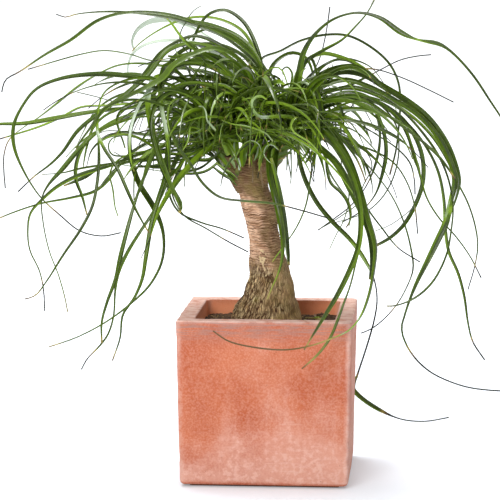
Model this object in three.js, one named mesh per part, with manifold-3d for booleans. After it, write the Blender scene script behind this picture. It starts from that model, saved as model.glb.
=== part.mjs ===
// A ponytail palm in a square terracotta pot.
// Millimetres, +Z up. The origin is the middle of the pot's underside, on the surface it stands on.
// The front, the side the plant is mostly looked at from, faces -Y.
//
// Pot, soil, trunk and three heads of leaves are separate closed bodies. A head is a short core of
// packed leaf bases with every leaf of that head grown into it.
import * as THREE from 'three';
import { mergeVertices } from 'three/addons/utils/BufferGeometryUtils.js';
import Module from 'manifold-3d';

// ---------------------------------------------------------------- driving dimensions

const POT_TOP = 240;          // outer width of the pot at its rim
const POT_BOTTOM = 231;       // outer width at the bottom: a slight taper
const POT_HEIGHT = 234;
const WALL = 22.5;            // thickness of the wall at the rim
const INSIDE_BOTTOM = 178;    // inner width just above the floor of the pot
const FLOOR_TOP = 25;         // height of the pot's inner floor
const FOOT_HEIGHT = 3;        // low foot under the pot, set back from its sides
const FOOT_INSET = 5.5;
const BOTTOM_EDGE = 6;        // rounding of the bottom edges
const CORNER = 4;             // rounding of the upright edges
const INNER_CORNER = 9;
const RIM_EDGE = 1.5;         // worn edge of the rim
const DRAIN_RADIUS = 7;
const DRAIN_OFFSET = 42;      // the four drain holes lie this far from both centre lines

const SOIL_TOP = 214;         // 20 mm below the rim
const GAP = 0.3;              // clearance between touching bodies
const WELDS = [1e-3, 5e-4, 1e-4]; // points this near each other count as one
const NUDGES = [0, 0.09, -0.13, 0.21, -0.27, 0.34]; // a blade is moved this far to join cleanly

const TRUNK_SIDES = 24;
const TRUNK_FOOT = 168;       // lower end of the buried part of the trunk
const COLLAR = 221;           // the trunk's plain buried part ends here
// Height, sideways centre and diameter of the trunk from its soil line to where it forks.
const TRUNK = [
  [TRUNK_FOOT, -4.5, 96], [200, -4.5, 106], [COLLAR, -4.4, 100], [231, -4, 91], [249.6, -0.9, 76],
  [268, 1, 67], [286, 1.8, 58], [304, -1, 53], [322, -5, 47], [340.6, -8.5, 44], [358.7, -11.3, 46],
  [377, -14.9, 48], [395, -19.4, 46], [408, -23.5, 46], [424, -27, 50], [440, -28, 44], [450, -26, 30],
];

// The three arms that the trunk forks into: start, end and their radii.
const ARMS = {
  left: { from: [-30, 0, 408], to: [-56, -6, 452], r0: 19, r1: 13.5 },
  centre: { from: [-24, 4, 418], to: [-18, 16, 466], r0: 19, r1: 13 },
  right: { from: [-18, -2, 418], to: [12, -10, 462], r0: 17, r1: 12.5 },
};
const CORE_LENGTH = 34;       // length of the packed leaf bases beyond the arm
const CORE_TIP = 5;           // radius at the growing point
const ROOT_OUT = 0.35;        // roots lie this share of the core's radius from its axis

const BLADE_KEEL = 1.7;       // depth of a blade's keel: its mean thickness is half of it
const TRACED_STEP = 46;       // length of one straight piece of a traced leaf
const RULE_STEPS = 5;         // straight pieces in a leaf that grows by rule

// Where the plant is looked at from when its leaves are traced.
const VIEWPOINT = new THREE.Vector3(232, -3464.6, 741.3);

// Traced leaves of each head: distance behind the front-view plane (y = 0) that the tip reaches,
// blade width, and the leaf's route in front view as "x z" points in centimetres.
const TRACED = {
  left: [
  [-60, 8,
    '-9.8 53.1, -14.8 55.5, -20.1 56.5, -24.8 56.7, -29.7 56, -33.1 54.5, -35.1 52, -36.3 49.3, ' +
    '-36.3 46.5, -35.1 43.2, -32.6 39.2, -29.7 36.5, -26.9 34.3, -23.8 33.6, -21.1 34.1'],
  [-120, 7.5,
    '-11.3 53.4, -16.9 56.2, -20.9 55.7, -23.5 54, -24.3 51.3, -24.3 48, -24.2 44.4, -24.5 40.9, ' +
    '-25.2 37.7, -26.9 34.4, -29.2 31, -31.7 27, -33.3 25, -34.8 24.5'],
  [40, 8,
    '-10.6 50.6, -16.2 52.2, -21.2 51.9, -25.5 51.3, -29.7 50.5, -34.7 49.6, -39 49.4, -42.8 48.7'],
  [120, 6,
    '-11.3 50.8, -17.7 52.5, -23.3 52.3, -26.9 52, -29.7 50.5, -32.6 49.2, -36.1 48, -39.7 46.9'],
  [-10, 8.5,
    '-11.3 51, -16.2 51.8, -21.2 50.5, -24.3 48.6, -26.9 46.1, -29.4 43.1, -31.4 40.8, -32.3 ' +
    '38.9, -32.1 35.5, -31.2 31.4, -29.9 28, -29 24.8, -28.6 22.7'],
  [60, 7.5,
    '-10.1 47.7, -14.1 47.1, -18.4 45.4, -22.6 43.7, -26.9 42.3, -30 40.7, -32.3 38.7, -33.9 ' +
    '36.8, -34.3 34.4, -34 31.5, -32.7 28.7, -32.1 26.1, -31.9 22.8'],
  [120, 6.5,
    '-9.8 46.6, -13.8 46, -17.7 44.8, -21.2 44, -24.1 43.4, -26.2 42, -29.2 40.7'],
  [160, 6,
    '-10.6 48.3, -14.8 48, -19.1 45.9, -21.2 43.9, -22.9 41.6, -24.8 40, -28.3 39, -32.3 38.2, ' +
    '-35.7 37.1, -39.4 35.6'],
  [-170, 6.5,
    '-11.3 50.3, -15.5 52.5, -20.5 53, -23.8 51.3, -24.5 49, -23.5 46.2, -21.6 43.3, -20.2 40.2, ' +
    '-18.8 37.1, -17.1 34.1'],
  [-90, 8,
    '-9.8 50, -12.7 51.4, -14 49.1, -14.4 46, -14.8 42, -15.8 38.8, -16.8 35.2, -17.5 30.9, -18.1 ' +
    '27.4, -19.2 24.8, -20.8 22.4, -21.2 19.1, -22.3 15.8'],
  [-150, 7,
    '-10.1 49.7, -13.3 50.5, -15.5 48.1, -16.9 44.5, -18.1 41.4, -19.2 38.1, -20.2 34.5, -21.2 ' +
    '30.5, -21.8 27.6, -23.1 24, -23.8 21.3, -23.8 18.3'],
  [-40, 7,
    '-9.1 48.1, -11.6 47.4, -13.5 43.8, -15.1 40, -16.5 37.1, -18.4 34.2, -20.1 31.4, -21.4 28.5, ' +
    '-21.9 25.6, -22.1 22.3, -22.9 19.6, -24.2 17.8, -25.9 16, -26.7 14.5'],
  [-110, 8,
    '-9.1 51.4, -12.7 54.3, -15.5 53.4, -16.8 49.9, -16.1 45.9, -15 42.7, -13.7 40.3, -12.5 38.1, ' +
    '-12.8 37'],
  [-160, 6.5,
    '-9.8 52.6, -12.7 53.3, -14.4 50.7, -13.3 47.1, -11.3 44.1, -9.4 41.2, -7 39.3, -3.5 38.8, ' +
    '0.4 38.5, 4.4 37.6, 8.3 36.5'],
  [40, 5,
    '-9.3 47.7, -11.6 47.1, -13.5 44.3, -14.4 40.8, -13 37.3, -9.8 35.7, -6.7 34.8, -3.6 33.5'],
  [70, 5,
    '-9 46.3, -11.3 45.7, -13 42.8, -13.8 40, -12.1 36.7, -9.1 34.9, -5.9 33, -3 31.5'],
  [-100, 9,
    '-6.7 47.3, -8.9 46, -11 44.1, -13 41.7, -14.7 39.1, -16 36.5, -16.9 33.5, -18.2 30.5'],
  [100, 5,
    '-7.6 44, -9.3 42.9, -11.3 42.6, -14.4 42.8, -17.2 43.2'],
  [20, 5.5,
    '-8.7 44.6, -11.6 44.7, -15.2 44.1, -18.1 43.5, -20.9 43.8'],
  [140, 7.5,
    '-9.1 49.1, -12.7 49.4, -16.9 48.2, -20.9 48.5, -23.3 47.6, -25.2 45.9, -26 43.3'],
  [-30, 7,
    '-9.8 49.1, -13.3 48.8, -16.7 47.4, -19.5 47.8, -22.3 48.3, -24.3 47.3'],
  [70, 8,
    '-9.1 51.4, -12.7 52.5, -16.9 51.4, -20.5 50.2, -23.5 49, -25.8 47.3, -27.2 44.7, -27.5 41.8, ' +
    '-26.6 39.3, -25.9 36.6'],
  [180, 6,
    '-10.4 51.4, -14.8 53.1, -19.1 54.2, -22.3 53.3, -24.8 51.3, -26.3 48.7, -27.5 46.1'],
  ],
  centre: [
  [60, 8,
    '-0.2 56.4, -4.2 61.3, -9.1 63.7, -14.8 65.4, -20.5 65.5, -24.3 64.4, -28.3 61.5, -31.9 59.4, ' +
    '-35.4 57, -37.5 55.7, -38 54'],
  [120, 7,
    '-1 56.8, -5.6 61.7, -9.8 63.6, -15.5 65.1, -20.5 65.6, -24.1 65.6, -27.6 65.2, -28.9 64.8, ' +
    '-30.3 65.2'],
  [170, 5,
    '-4.7 56.3, -9.1 58.4, -13.4 58.7, -16.9 58.8, -20.1 59.7, -23.6 60.1, -26.9 59.5, -30.4 ' +
    '58.5, -34.3 57.3'],
  [200, 7.5,
    '-4.2 54.6, -9.1 57.1, -14.1 57.8, -18.4 58.3, -21.5 58, -24.1 56.9, -27.2 55, -30.4 52.4, ' +
    '-32.9 50.4, -35.1 48.9, -37 47.2, -37.7 45, -37.7 42.6, -37.5 40.3'],
  [20, 8.5,
    '-3.6 56.3, -6.7 60, -11 61.3, -14.4 60.2, -17.2 56.8, -20.5 53.8, -24.1 51.2, -27.2 48.6, ' +
    '-29.4 45.5, -31.2 43.7, -33.3 42.1, -35.7 39.8'],
  [-30, 8,
    '-4.2 55.3, -7.7 58.1, -12 58.3, -14.8 56.2, -17.2 52.8, -19.5 49.6, -19.8 45.9, -18.7 41.6, ' +
    '-16.4 37.7, -15.1 34.3, -15.2 30.3, -16.9 26.8, -19.8 23.9, -23.3 21.3, -27.2 19.2, -31.4 ' +
    '17.7'],
  [90, 6,
    '-1 57.2, -2.2 61.8, -3.9 64.6, -6.3 66, -8.6 65.4, -10 63.6, -11 61, -11.4 58.5, -11.1 56'],
  [210, 6.5,
    '-1.6 58.6, -3.6 62.8, -6.2 64.4, -9.1 65, -11.6 64.8, -14.1 63.9, -16.9 62.3, -18.7 60.9, ' +
    '-19.5 60'],
  [240, 6,
    '-4.2 56.8, -6.3 60.3, -9.8 62.8, -13.8 64.5, -16.9 64.3, -18.8 63, -19.5 61.3, -19.2 60.2'],
  [90, 8,
    '-1.9 57.5, -5.6 60.6, -9.8 61.1, -13 59.7, -14.8 56.8, -15.4 53.1, -14.7 48.8, -14.4 44.8, ' +
    '-14.8 41, -15.8 38.1, -16.5 35.2'],
  [140, 7.5,
    '-3.5 55.8, -6.7 58.6, -10.1 59.1, -13 57.7, -14.8 55.9, -16.9 53.1, -18.7 49.9, -19.8 47.3'],
  [60, 6.5,
    '-3.9 53.2, -6.7 54.9, -9.8 55.6, -12.4 54.8, -14.4 52.8'],
  [40, 8,
    '-1.6 55.3, -4.2 58.9, -7.7 61.4, -10.6 62.3, -12.7 61.7, -15.5 59.9, -17.5 57.3, -19.4 55'],
  [110, 7,
    '-1 56.1, -2.5 59.6, -5.3 62.5, -8.7 63.3, -11.3 62, -12.4 60.2'],
  [190, 5.5,
    '-1.9 57.2, -1 59.2, 1.5 60.2, 4.4 61.7, 7.9 62.6, 11.2 62.5, 14.6 60.8, 17.1 58.5, 18.3 56, ' +
    '18.6 53.4, 18.4 49.8, 18 46.3, 17.1 42.7'],
  [150, 7,
    '-0.2 56.6, 0.9 58.7, 3.2 60, 5.2 59.3, 6.3 56.7, 6.9 53.3'],
  ],
  right: [
  [-120, 9,
    '4.1 56.4, 4.9 60.1, 6.6 62.8, 9.2 64.9, 12.6 65.8, 15.7 65.1, 18.6 63.1, 20.8 62.1, 24.2 ' +
    '61.4, 25.9 60.3, 28.8 57.2, 31.3 53.5, 33.5 50, 34.8 46.4'],
  [60, 5,
    '3.8 55.8, 5.2 58.7, 7.5 60.3, 10.3 61.9, 12.2 63.8, 13.9 65.8, 15 67.9, 15.6 69.1'],
  [140, 4.5,
    '4.1 54.4, 6.1 57, 7.3 59.7, 7.9 62.1, 8.3 64.4, 8.6 66.6'],
  [130, 7,
    '3.5 55.5, 4.8 58.4, 7.2 59.9, 10 59.5, 12.9 58.2, 15.4 56.2, 17.4 53.7, 18.4 50.5'],
  [170, 5.5,
    '3.8 53.8, 5.5 56.4, 7.5 58.1, 10 59.2, 12.3 59, 14.6 57.9, 16.3 55.7'],
  [200, 5,
    '5.1 53.3, 7.9 54.7, 10.7 55.2, 13.6 56.5, 16 57.8, 18.6 59.1, 21.1 59.7, 23 59.9'],
  [120, 5,
    '4.4 54, 7.2 56.1, 10.7 57.3, 14.6 57.8, 18.6 56.7, 22.5 55, 26.2 53.2'],
  [10, 10,
    '4.4 53.5, 6.9 55.9, 10.3 57.3, 13.4 56.9, 16.4 55.2, 19.4 53.4, 22.5 51, 25.1 47.6, 26.5 ' +
    '44.5, 27.1 41.9, 26.7 39.8, 25.9 37.5, 25.4 35.5'],
  [-60, 10,
    '4.6 52.7, 7.2 55, 10.7 56.2, 14.3 55.2, 17.6 53.5, 21.1 51.3, 23.8 48.4, 25.5 45.2, 26.4 42, ' +
    '25.8 39.2, 25.1 36, 23.8 33.2, 22.4 30.3, 21.1 27.7, 20.1 25.3, 19.3 22.9, 18.8 20.6, 20.1 ' +
    '17.4, 22.5 14.9, 25.1 13.5, 28.2 12.5, 31.3 12.1, 33.5 12'],
  [70, 7,
    '4.6 52.1, 7.8 54.2, 11.5 55, 15.7 53.8, 20 51.3, 23.1 48.3, 25.1 45.2, 26.8 41.6, 28.2 38.8, ' +
    '29.2 35.7, 29.6 32.8, 29.2 29.9, 28.2 26.4'],
  [-20, 6.5,
    '4.9 51.6, 8.1 53.6, 11.7 54.5, 15.7 52.9, 18.6 50.3, 20.3 46.6, 21.4 42.7, 22.4 39.4, 24.2 ' +
    '36.5, 26.4 34.1, 28.5 31.2, 30.1 28.1'],
  [-130, 8,
    '4.9 51.8, 8.1 54.4, 11.7 55.3, 15.7 54.1, 19 51.8, 21.7 48.9, 24 45.6, 25.4 42.3, 26.1 38.5, ' +
    '25.8 34.6, 25.1 31.2, 23.2 27.5, 20.7 25.2, 18.1 24.1, 16.7 24'],
  [110, 8.5,
    '5.2 51.3, 8.3 53.2, 11.7 53.9, 15.7 52.9, 18.8 50.8, 20.8 48, 21.8 44.9, 21.8 41.7, 20.8 ' +
    '38.6, 19.1 35.6, 17.1 33.7, 15 32.5'],
  [40, 7.5,
    '5.2 50.7, 8.3 52.4, 11.9 53.5, 15.7 52.9, 18.3 51.1, 19.7 48.3, 20.6 45.1, 21.7 42, 22 40.2'],
  [190, 7,
    '5.2 51.6, 8.1 53.4, 11.5 54.2, 14.3 53.1, 15.6 49.9, 15.6 46.5, 14.7 43.1, 13.4 40.5, 11.5 ' +
    '38.2, 9.5 36.6, 6.9 34.7'],
  [20, 7.5,
    '5.5 51, 8.6 53.3, 12 53.2, 14.7 52.2, 16 49.7, 16.6 46.2, 16.1 43, 15 39.8, 12.9 37.4, 10.3 ' +
    '35.9'],
  [-170, 7,
    '5.2 50.1, 7.2 50.9, 10 52.5, 12.9 53.2, 15.7 51.9, 18.8 49.7, 22 47.3, 24.5 44.9, 26.5 42'],
  [100, 6,
    '5.2 50.1, 6.9 50.6, 9.3 50.6, 12.2 50.2, 15.4 48.4, 18.3 46.4, 20 44.4, 20.6 42, 20.7 39.9'],
  [30, 6,
    '5.8 48.9, 8.1 48.2, 10.9 47.3, 14.6 46.2, 17.7 44.4, 19.6 41.6, 20.7 38.1, 21.1 34.3'],
  [-230, 10,
    '4.6 50.7, 6.9 50.1, 9.3 47.9, 11.5 44.3, 13 40.1, 14 36.2, 14.9 32.7, 14.7 29.1, 14 25.4, ' +
    '12.9 22.5, 11.3 20.5, 8.6 19.2, 5.8 18.2, 2.2 17.6, -2.7 18, -5.9 18.8, -8 20.2'],
  [-200, 9,
    '4.4 50.1, 6.6 49.6, 9.3 46.7, 11.5 42.9, 12.7 39.1, 13 35.5, 12.6 32.2, 11.3 28.8, 9.5 25.2, ' +
    '7.5 21.9, 4.9 17.6'],
  [-160, 8,
    '4.4 49.4, 6.9 48.9, 9.8 45.9, 11.9 41.9, 13 37.6, 13 33.6, 12.3 30.2, 11.5 26.9, 10.5 24.1, ' +
    '9.6 21.6, 8.6 19.3, 6.9 17, 4.6 14.9'],
  [-110, 10,
    '4.1 48.8, 6.9 46.7, 9.5 44.3, 11.3 41.2, 13 37.9, 14.3 34.4, 14.7 30.8, 14.3 27.7'],
  [175, 8,
    '3.8 47.7, 4.2 45, 5.1 41.9, 6.8 38.6, 9 35.9, 11.5 33.4, 13.4 30.8, 14.9 27.7, 15.3 24.8, ' +
    '14.9 22, 13.9 18.4, 12.5 14.1, 11.9 12.2, 12.9 11, 15.4 9.3, 18.6 7.9, 22.1 7.6, 25.5 8.2'],
  [-60, 7.5,
    '4.2 54.4, 4.6 57.5, 5.8 59.4, 6.8 56.9, 7.1 52.6, 6.6 47.6, 5.9 42.6, 5.2 38.3, 3.8 35, 1.8 ' +
    '32.1, 0.4 30.1'],
  [-95, 8,
    '1.1 45.8, 0.7 42.1, 1.4 39, 2.2 35.4, 2.7 31.8, 2.8 29.6'],
  [-120, 8.5,
    '0.1 46.1, -0 42.9, 0.7 39.7, 1.4 36.8, 1.9 33.5, 1.8 30.4, 1.2 28.3, 0.4 26.5, -0.3 24.8'],
  [140, 7,
    '5.2 49.3, 6.9 49, 9.8 47.9, 12.3 45.8, 14.9 43.1, 17.4 39.7, 19.1 36, 20.1 32.3, 20.4 29.2, ' +
    '19.3 26.3, 18 24.1, 16.1 22, 14.4 20.7, 13 20.1'],
  [-30, 6,
    '4.9 48.7, 7.2 48.2, 9.8 45.9, 11.9 41.9, 13.6 38.4, 16 35.1, 18.3 32.3, 21.4 30.3'],
  [90, 7.5,
    '5.2 52.1, 8.3 53.7, 12.3 54.2, 16.4 52.5, 19.7 50, 22.3 46.7, 24 43.2, 24.8 39.2, 25 35.2, ' +
    '25.5 31.8, 26.8 28.8, 27.7 25.4, 28.2 21.8, 28.9 19, 30.6 16.4'],
  [-60, 7,
    '4.9 52.1, 6.6 51.6, 8.6 49.9, 10.9 47, 12.3 45.1, 13.2 43.1, 13.7 41.6'],
  [160, 6.5,
    '5.2 48.7, 6.6 47.3, 7.9 45.4, 8.6 43, 10 40.8, 11.3 38.8, 11.6 36.5, 10.9 35.1'],
  ],
};

// Leaves that fill each head by rule: how many, and the seed of their small differences.
const FILL = {
  left: { count: 34, seed: 11 },
  centre: { count: 40, seed: 23 },
  right: { count: 34, seed: 37 },
};
const GOLDEN_ANGLE = 2.39996;
const GOLDEN_SHARE = 0.618;

// Seen from the front, leaves that grow by rule stay inside these round lobes of the crown.
// Middle x and z, half width and half height.
const LOBES = [
  [-148, 510, 185, 118],
  [-6, 488, 74, 88],
  [143, 492, 128, 104],
];
const REACH_BACK = 290;       // furthest that such a leaf goes to the front or back

// ---------------------------------------------------------------- small helpers

const wasm = await Module();
wasm.setup();

function toSolid(geometry) {
  const bare = geometry.clone();
  bare.deleteAttribute('normal');
  bare.deleteAttribute('uv');
  const merged = mergeVertices(bare, 1e-4);
  return new wasm.Manifold(new wasm.Mesh({
    numProp: 3,
    vertProperties: new Float32Array(merged.attributes.position.array),
    triVerts: new Uint32Array(merged.index.array),
  }));
}

// Triangles left when points that lie within `near` of each other become one: slivers between them
// go, and so do pairs of triangles that have come to lie back to back.
function weld(geometry, near) {
  const merged = mergeVertices(geometry, near);
  const kept = new Map();
  const old = merged.index.array;
  for (let i = 0; i < old.length; i += 3) {
    const tri = [old[i], old[i + 1], old[i + 2]];
    if (tri[0] === tri[1] || tri[1] === tri[2] || tri[0] === tri[2]) continue;
    const key = [...tri].sort((a, b) => a - b).join();
    if (kept.has(key)) kept.delete(key);
    else kept.set(key, tri);
  }
  merged.setIndex([...kept.values()].flat());
  return merged;
}

// Whether every edge belongs to just two triangles.
function isClosed(geometry) {
  const uses = new Map();
  const tri = geometry.index.array;
  for (let i = 0; i < tri.length; i += 3) {
    for (let k = 0; k < 3; k += 1) {
      const a = tri[i + k];
      const b = tri[i + (k + 1) % 3];
      const key = Math.min(a, b) + '/' + Math.max(a, b);
      uses.set(key, (uses.get(key) || 0) + 1);
    }
  }
  return [...uses.values()].every((count) => count === 2);
}

function toRaw(solid) {
  const mesh = solid.getMesh();
  const raw = new THREE.BufferGeometry();
  raw.setAttribute('position', new THREE.BufferAttribute(mesh.vertProperties, 3));
  raw.setIndex(new THREE.BufferAttribute(mesh.triVerts, 1));
  return raw;
}

function toGeometry(solid) {
  const geometry = toRaw(solid);
  geometry.computeVertexNormals();
  return geometry;
}

// Whether the joined body stays closed when points almost on each other are taken as one.
function joinsCleanly(solid) {
  const raw = toRaw(solid);
  return WELDS.every((near) => isClosed(weld(raw, near)));
}

// The outer skin of the largest piece: hollows that joining has sealed are filled.
function oneBody(solid) {
  const pieces = solid.decompose();
  return pieces.reduce((best, piece) => (piece.volume() > best.volume() ? piece : best));
}

// A closed skin over a stack of rings with equal numbers of points. Each ring runs counter-clockwise
// when looked at from the far end of the stack. A ring of one point is a tip.
function loft(rings) {
  const points = [];
  const starts = [];
  for (const ring of rings) {
    starts.push(points.length);
    points.push(...ring);
  }
  const index = [];
  for (let k = 0; k + 1 < rings.length; k += 1) {
    const low = rings[k];
    const high = rings[k + 1];
    const n = Math.max(low.length, high.length);
    for (let i = 0; i < n; i += 1) {
      const j = (i + 1) % n;
      const a = starts[k] + (low.length === 1 ? 0 : i);
      const b = starts[k] + (low.length === 1 ? 0 : j);
      const c = starts[k + 1] + (high.length === 1 ? 0 : j);
      const d = starts[k + 1] + (high.length === 1 ? 0 : i);
      if (low.length > 1) index.push(a, b, c);
      if (high.length > 1) index.push(a, c, d);
    }
  }
  const cap = (ring, start, upward) => {
    for (let i = 1; i + 1 < ring.length; i += 1) {
      if (upward) index.push(start, start + i, start + i + 1);
      else index.push(start, start + i + 1, start + i);
    }
  };
  cap(rings[0], starts[0], false);
  cap(rings[rings.length - 1], starts[rings.length - 1], true);
  const geometry = new THREE.BufferGeometry();
  const flat = points.flatMap((p) => [p.x, p.y, p.z]);
  geometry.setAttribute('position', new THREE.Float32BufferAttribute(flat, 3));
  geometry.setIndex(index);
  return geometry;
}

// Repeatable random numbers from 0 to 1.
function seeded(seed) {
  let state = seed >>> 0;
  return () => {
    state = (state + 0x6D2B79F5) >>> 0;
    let t = Math.imul(state ^ (state >>> 15), 1 | state);
    t = (t + Math.imul(t ^ (t >>> 7), 61 | t)) ^ t;
    return ((t ^ (t >>> 14)) >>> 0) / 4294967296;
  };
}

// Value of a list of [position, value] rows at a position, with smooth slopes between rows.
function along(rows, at, column) {
  let k = 0;
  while (k + 2 < rows.length && rows[k + 1][0] < at) k += 1;
  const t = THREE.MathUtils.clamp((at - rows[k][0]) / (rows[k + 1][0] - rows[k][0]), 0, 1);
  const p1 = rows[k][column];
  const p2 = rows[k + 1][column];
  const p0 = rows[Math.max(k - 1, 0)][column];
  const p3 = rows[Math.min(k + 2, rows.length - 1)][column];
  return 0.5 * (2 * p1 + (p2 - p0) * t + (2 * p0 - 5 * p1 + 4 * p2 - p3) * t * t
    + (3 * p1 - p0 - 3 * p2 + p3) * t * t * t);
}

// ---------------------------------------------------------------- pot

// A square ring of the given width with rounded corners, at height z.
function squareRing(width, radius, z) {
  const ring = [];
  const steps = 3;
  const inner = width / 2 - radius;
  for (let corner = 0; corner < 4; corner += 1) {
    const start = corner * Math.PI / 2;
    const cx = inner * Math.SQRT2 * Math.cos(start + Math.PI / 4);
    const cy = inner * Math.SQRT2 * Math.sin(start + Math.PI / 4);
    for (let i = 0; i <= steps; i += 1) {
      const a = start + i / steps * Math.PI / 2;
      ring.push(new THREE.Vector3(cx + radius * Math.cos(a), cy + radius * Math.sin(a), z));
    }
  }
  return ring;
}

function outerWidth(z) {
  return POT_BOTTOM + (POT_TOP - POT_BOTTOM) * (z - FOOT_HEIGHT) / (POT_HEIGHT - FOOT_HEIGHT);
}

function innerWidth(z) {
  const top = POT_TOP - 2 * WALL;
  return INSIDE_BOTTOM + (top - INSIDE_BOTTOM) * (z - FLOOR_TOP) / (POT_HEIGHT - FLOOR_TOP);
}

function makePot() {
  const rings = [];
  const foot = POT_BOTTOM - 2 * (BOTTOM_EDGE + FOOT_INSET);
  rings.push(squareRing(foot, CORNER, 0));
  rings.push(squareRing(foot, CORNER, FOOT_HEIGHT));
  for (let i = 0; i <= 4; i += 1) {
    const a = i / 4 * Math.PI / 2;
    const z = FOOT_HEIGHT + BOTTOM_EDGE * (1 - Math.cos(a));
    const inset = BOTTOM_EDGE * (1 - Math.sin(a));
    rings.push(squareRing(outerWidth(z) - 2 * inset, CORNER, z));
  }
  const shoulder = POT_HEIGHT - RIM_EDGE;
  rings.push(squareRing(outerWidth(shoulder), CORNER, shoulder));
  rings.push(squareRing(POT_TOP - 2 * RIM_EDGE, CORNER, POT_HEIGHT));
  rings.push(squareRing(POT_TOP - 2 * WALL + 2 * RIM_EDGE, INNER_CORNER, POT_HEIGHT));
  rings.push(squareRing(innerWidth(shoulder), INNER_CORNER, shoulder));
  rings.push(squareRing(INSIDE_BOTTOM, INNER_CORNER, FLOOR_TOP));
  let pot = toSolid(loft(rings));
  for (const sx of [-1, 1]) {
    for (const sy of [-1, 1]) {
      const drill = new THREE.CylinderGeometry(DRAIN_RADIUS, DRAIN_RADIUS, FLOOR_TOP * 3, 12);
      drill.rotateX(Math.PI / 2);
      drill.translate(sx * DRAIN_OFFSET, sy * DRAIN_OFFSET, 0);
      pot = pot.subtract(toSolid(drill));
    }
  }
  return toGeometry(pot);
}

// ---------------------------------------------------------------- trunk

// Bark relief: rings round the trunk above, corky lumps below. None on the buried part.
function barkRelief(angle, z) {
  const shown = THREE.MathUtils.smoothstep(z, COLLAR, COLLAR + 14);
  const lumps = 1.3 * Math.sin(3 * angle + z / 17) + 1.0 * Math.sin(5 * angle - z / 9 + 1);
  const rings = 0.7 * Math.sin(z / 2.6 + Math.sin(angle));
  const low = 1 - THREE.MathUtils.smoothstep(z, 290, 350);
  return shown * (lumps * (0.35 + 0.65 * low) + rings * (1 - 0.6 * low));
}

function trunkRing(z, extra) {
  const radius = along(TRUNK, z, 2) / 2 + extra;
  const centre = along(TRUNK, z, 1);
  const ring = [];
  for (let i = 0; i < TRUNK_SIDES; i += 1) {
    const a = i / TRUNK_SIDES * Math.PI * 2;
    const r = radius + (extra > 0 ? 0 : barkRelief(a, z));
    ring.push(new THREE.Vector3(centre + r * Math.cos(a), r * Math.sin(a), z));
  }
  return ring;
}

// A round body that tapers from one end to the other along a straight axis.
function taper(from, to, r0, r1, sides, bulge) {
  const start = new THREE.Vector3(...from);
  const end = new THREE.Vector3(...to);
  const axis = end.clone().sub(start).normalize();
  const side = new THREE.Vector3(0, 1, 0).cross(axis).normalize();
  const front = axis.clone().cross(side);
  const rings = [];
  const steps = 5;
  for (let k = 0; k <= steps; k += 1) {
    const t = k / steps;
    const r = THREE.MathUtils.lerp(r0, r1, t) + bulge * Math.sin(Math.PI * t);
    const centre = start.clone().lerp(end, t);
    const ring = [];
    for (let i = 0; i < sides; i += 1) {
      const a = i / sides * Math.PI * 2;
      ring.push(centre.clone().addScaledVector(side, r * Math.cos(a))
        .addScaledVector(front, r * Math.sin(a)));
    }
    rings.push(ring);
  }
  return loft(rings);
}

function trunkHeights() {
  const heights = [TRUNK_FOOT, COLLAR];
  const top = TRUNK[TRUNK.length - 1][0];
  const steps = 17;
  for (let i = 1; i <= steps; i += 1) heights.push(COLLAR + (top - COLLAR) * i / steps);
  return heights;
}

function makeTrunk() {
  let trunk = toSolid(loft(trunkHeights().map((z) => trunkRing(z, 0))));
  for (const arm of Object.values(ARMS)) {
    trunk = trunk.add(toSolid(taper(arm.from, arm.to, arm.r0, arm.r1, 18, 1)));
  }
  return toGeometry(oneBody(trunk));
}

// ---------------------------------------------------------------- soil

// Lumps of the potting mix; it is heaped a little round the trunk.
function soilHeight(x, y) {
  const lumps = Math.sin(x / 11 + 1) * Math.cos(y / 13) + 0.7 * Math.sin(x / 5 + y / 7);
  const heap = 3.5 * Math.exp(-((x + 4.5) ** 2 + y * y) / 5200);
  return SOIL_TOP - 1.5 + lumps + heap;
}

function makeSoil() {
  const cells = 12;
  const half = POT_TOP / 2;
  const rows = [];
  for (let i = 0; i <= cells; i += 1) {
    const x = -half + i / cells * 2 * half;
    const top = [];
    for (let j = 0; j <= cells; j += 1) {
      const y = half - j / cells * 2 * half;
      top.push(new THREE.Vector3(x, y, soilHeight(x, y)));
    }
    const deep = FLOOR_TOP - 20;
    rows.push([...top, new THREE.Vector3(x, -half, deep), new THREE.Vector3(x, half, deep)]);
  }
  const block = toSolid(loft(rows));
  const floor = FLOOR_TOP + GAP;
  const inside = toSolid(loft([
    squareRing(innerWidth(floor) - 2 * GAP, INNER_CORNER, floor),
    squareRing(innerWidth(POT_HEIGHT) - 2 * GAP, INNER_CORNER, POT_HEIGHT),
  ]));
  const hole = toSolid(loft([TRUNK_FOOT - GAP, COLLAR, COLLAR + 20].map((z) => {
    const known = THREE.MathUtils.clamp(z, TRUNK_FOOT, COLLAR);
    return trunkRing(known, GAP).map((p) => new THREE.Vector3(p.x, p.y, z));
  })));
  return toGeometry(block.intersect(inside).subtract(hole));
}

// ---------------------------------------------------------------- leaves

// The core of a head: it carries on from the end of its arm.
function coreOf(name) {
  const arm = ARMS[name];
  const to = new THREE.Vector3(...arm.to);
  const axis = to.clone().sub(new THREE.Vector3(...arm.from)).normalize();
  const start = to.clone().addScaledVector(axis, GAP);
  const end = start.clone().addScaledVector(axis, CORE_LENGTH);
  return { start, end, axis, radius: arm.r1 };
}

// Where a leaf is rooted: inside the core, a share of the way up and out towards its heading.
function rootOf(core, share, heading) {
  const out = new THREE.Vector3(Math.cos(heading), Math.sin(heading), 0);
  out.addScaledVector(core.axis, -out.dot(core.axis)).normalize();
  const radius = THREE.MathUtils.lerp(core.radius, CORE_TIP, share);
  return core.start.clone().lerp(core.end, share).addScaledVector(out, ROOT_OUT * radius);
}

// Width of a blade along its length: full from near the root, then a long taper to a fine tip.
function bladeWidth(width, t) {
  const root = 0.8 + 0.2 * Math.min(t / 0.12, 1);
  return Math.max(width * root * Math.pow(1 - Math.pow(t, 2.2), 0.9), 1.3);
}

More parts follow.
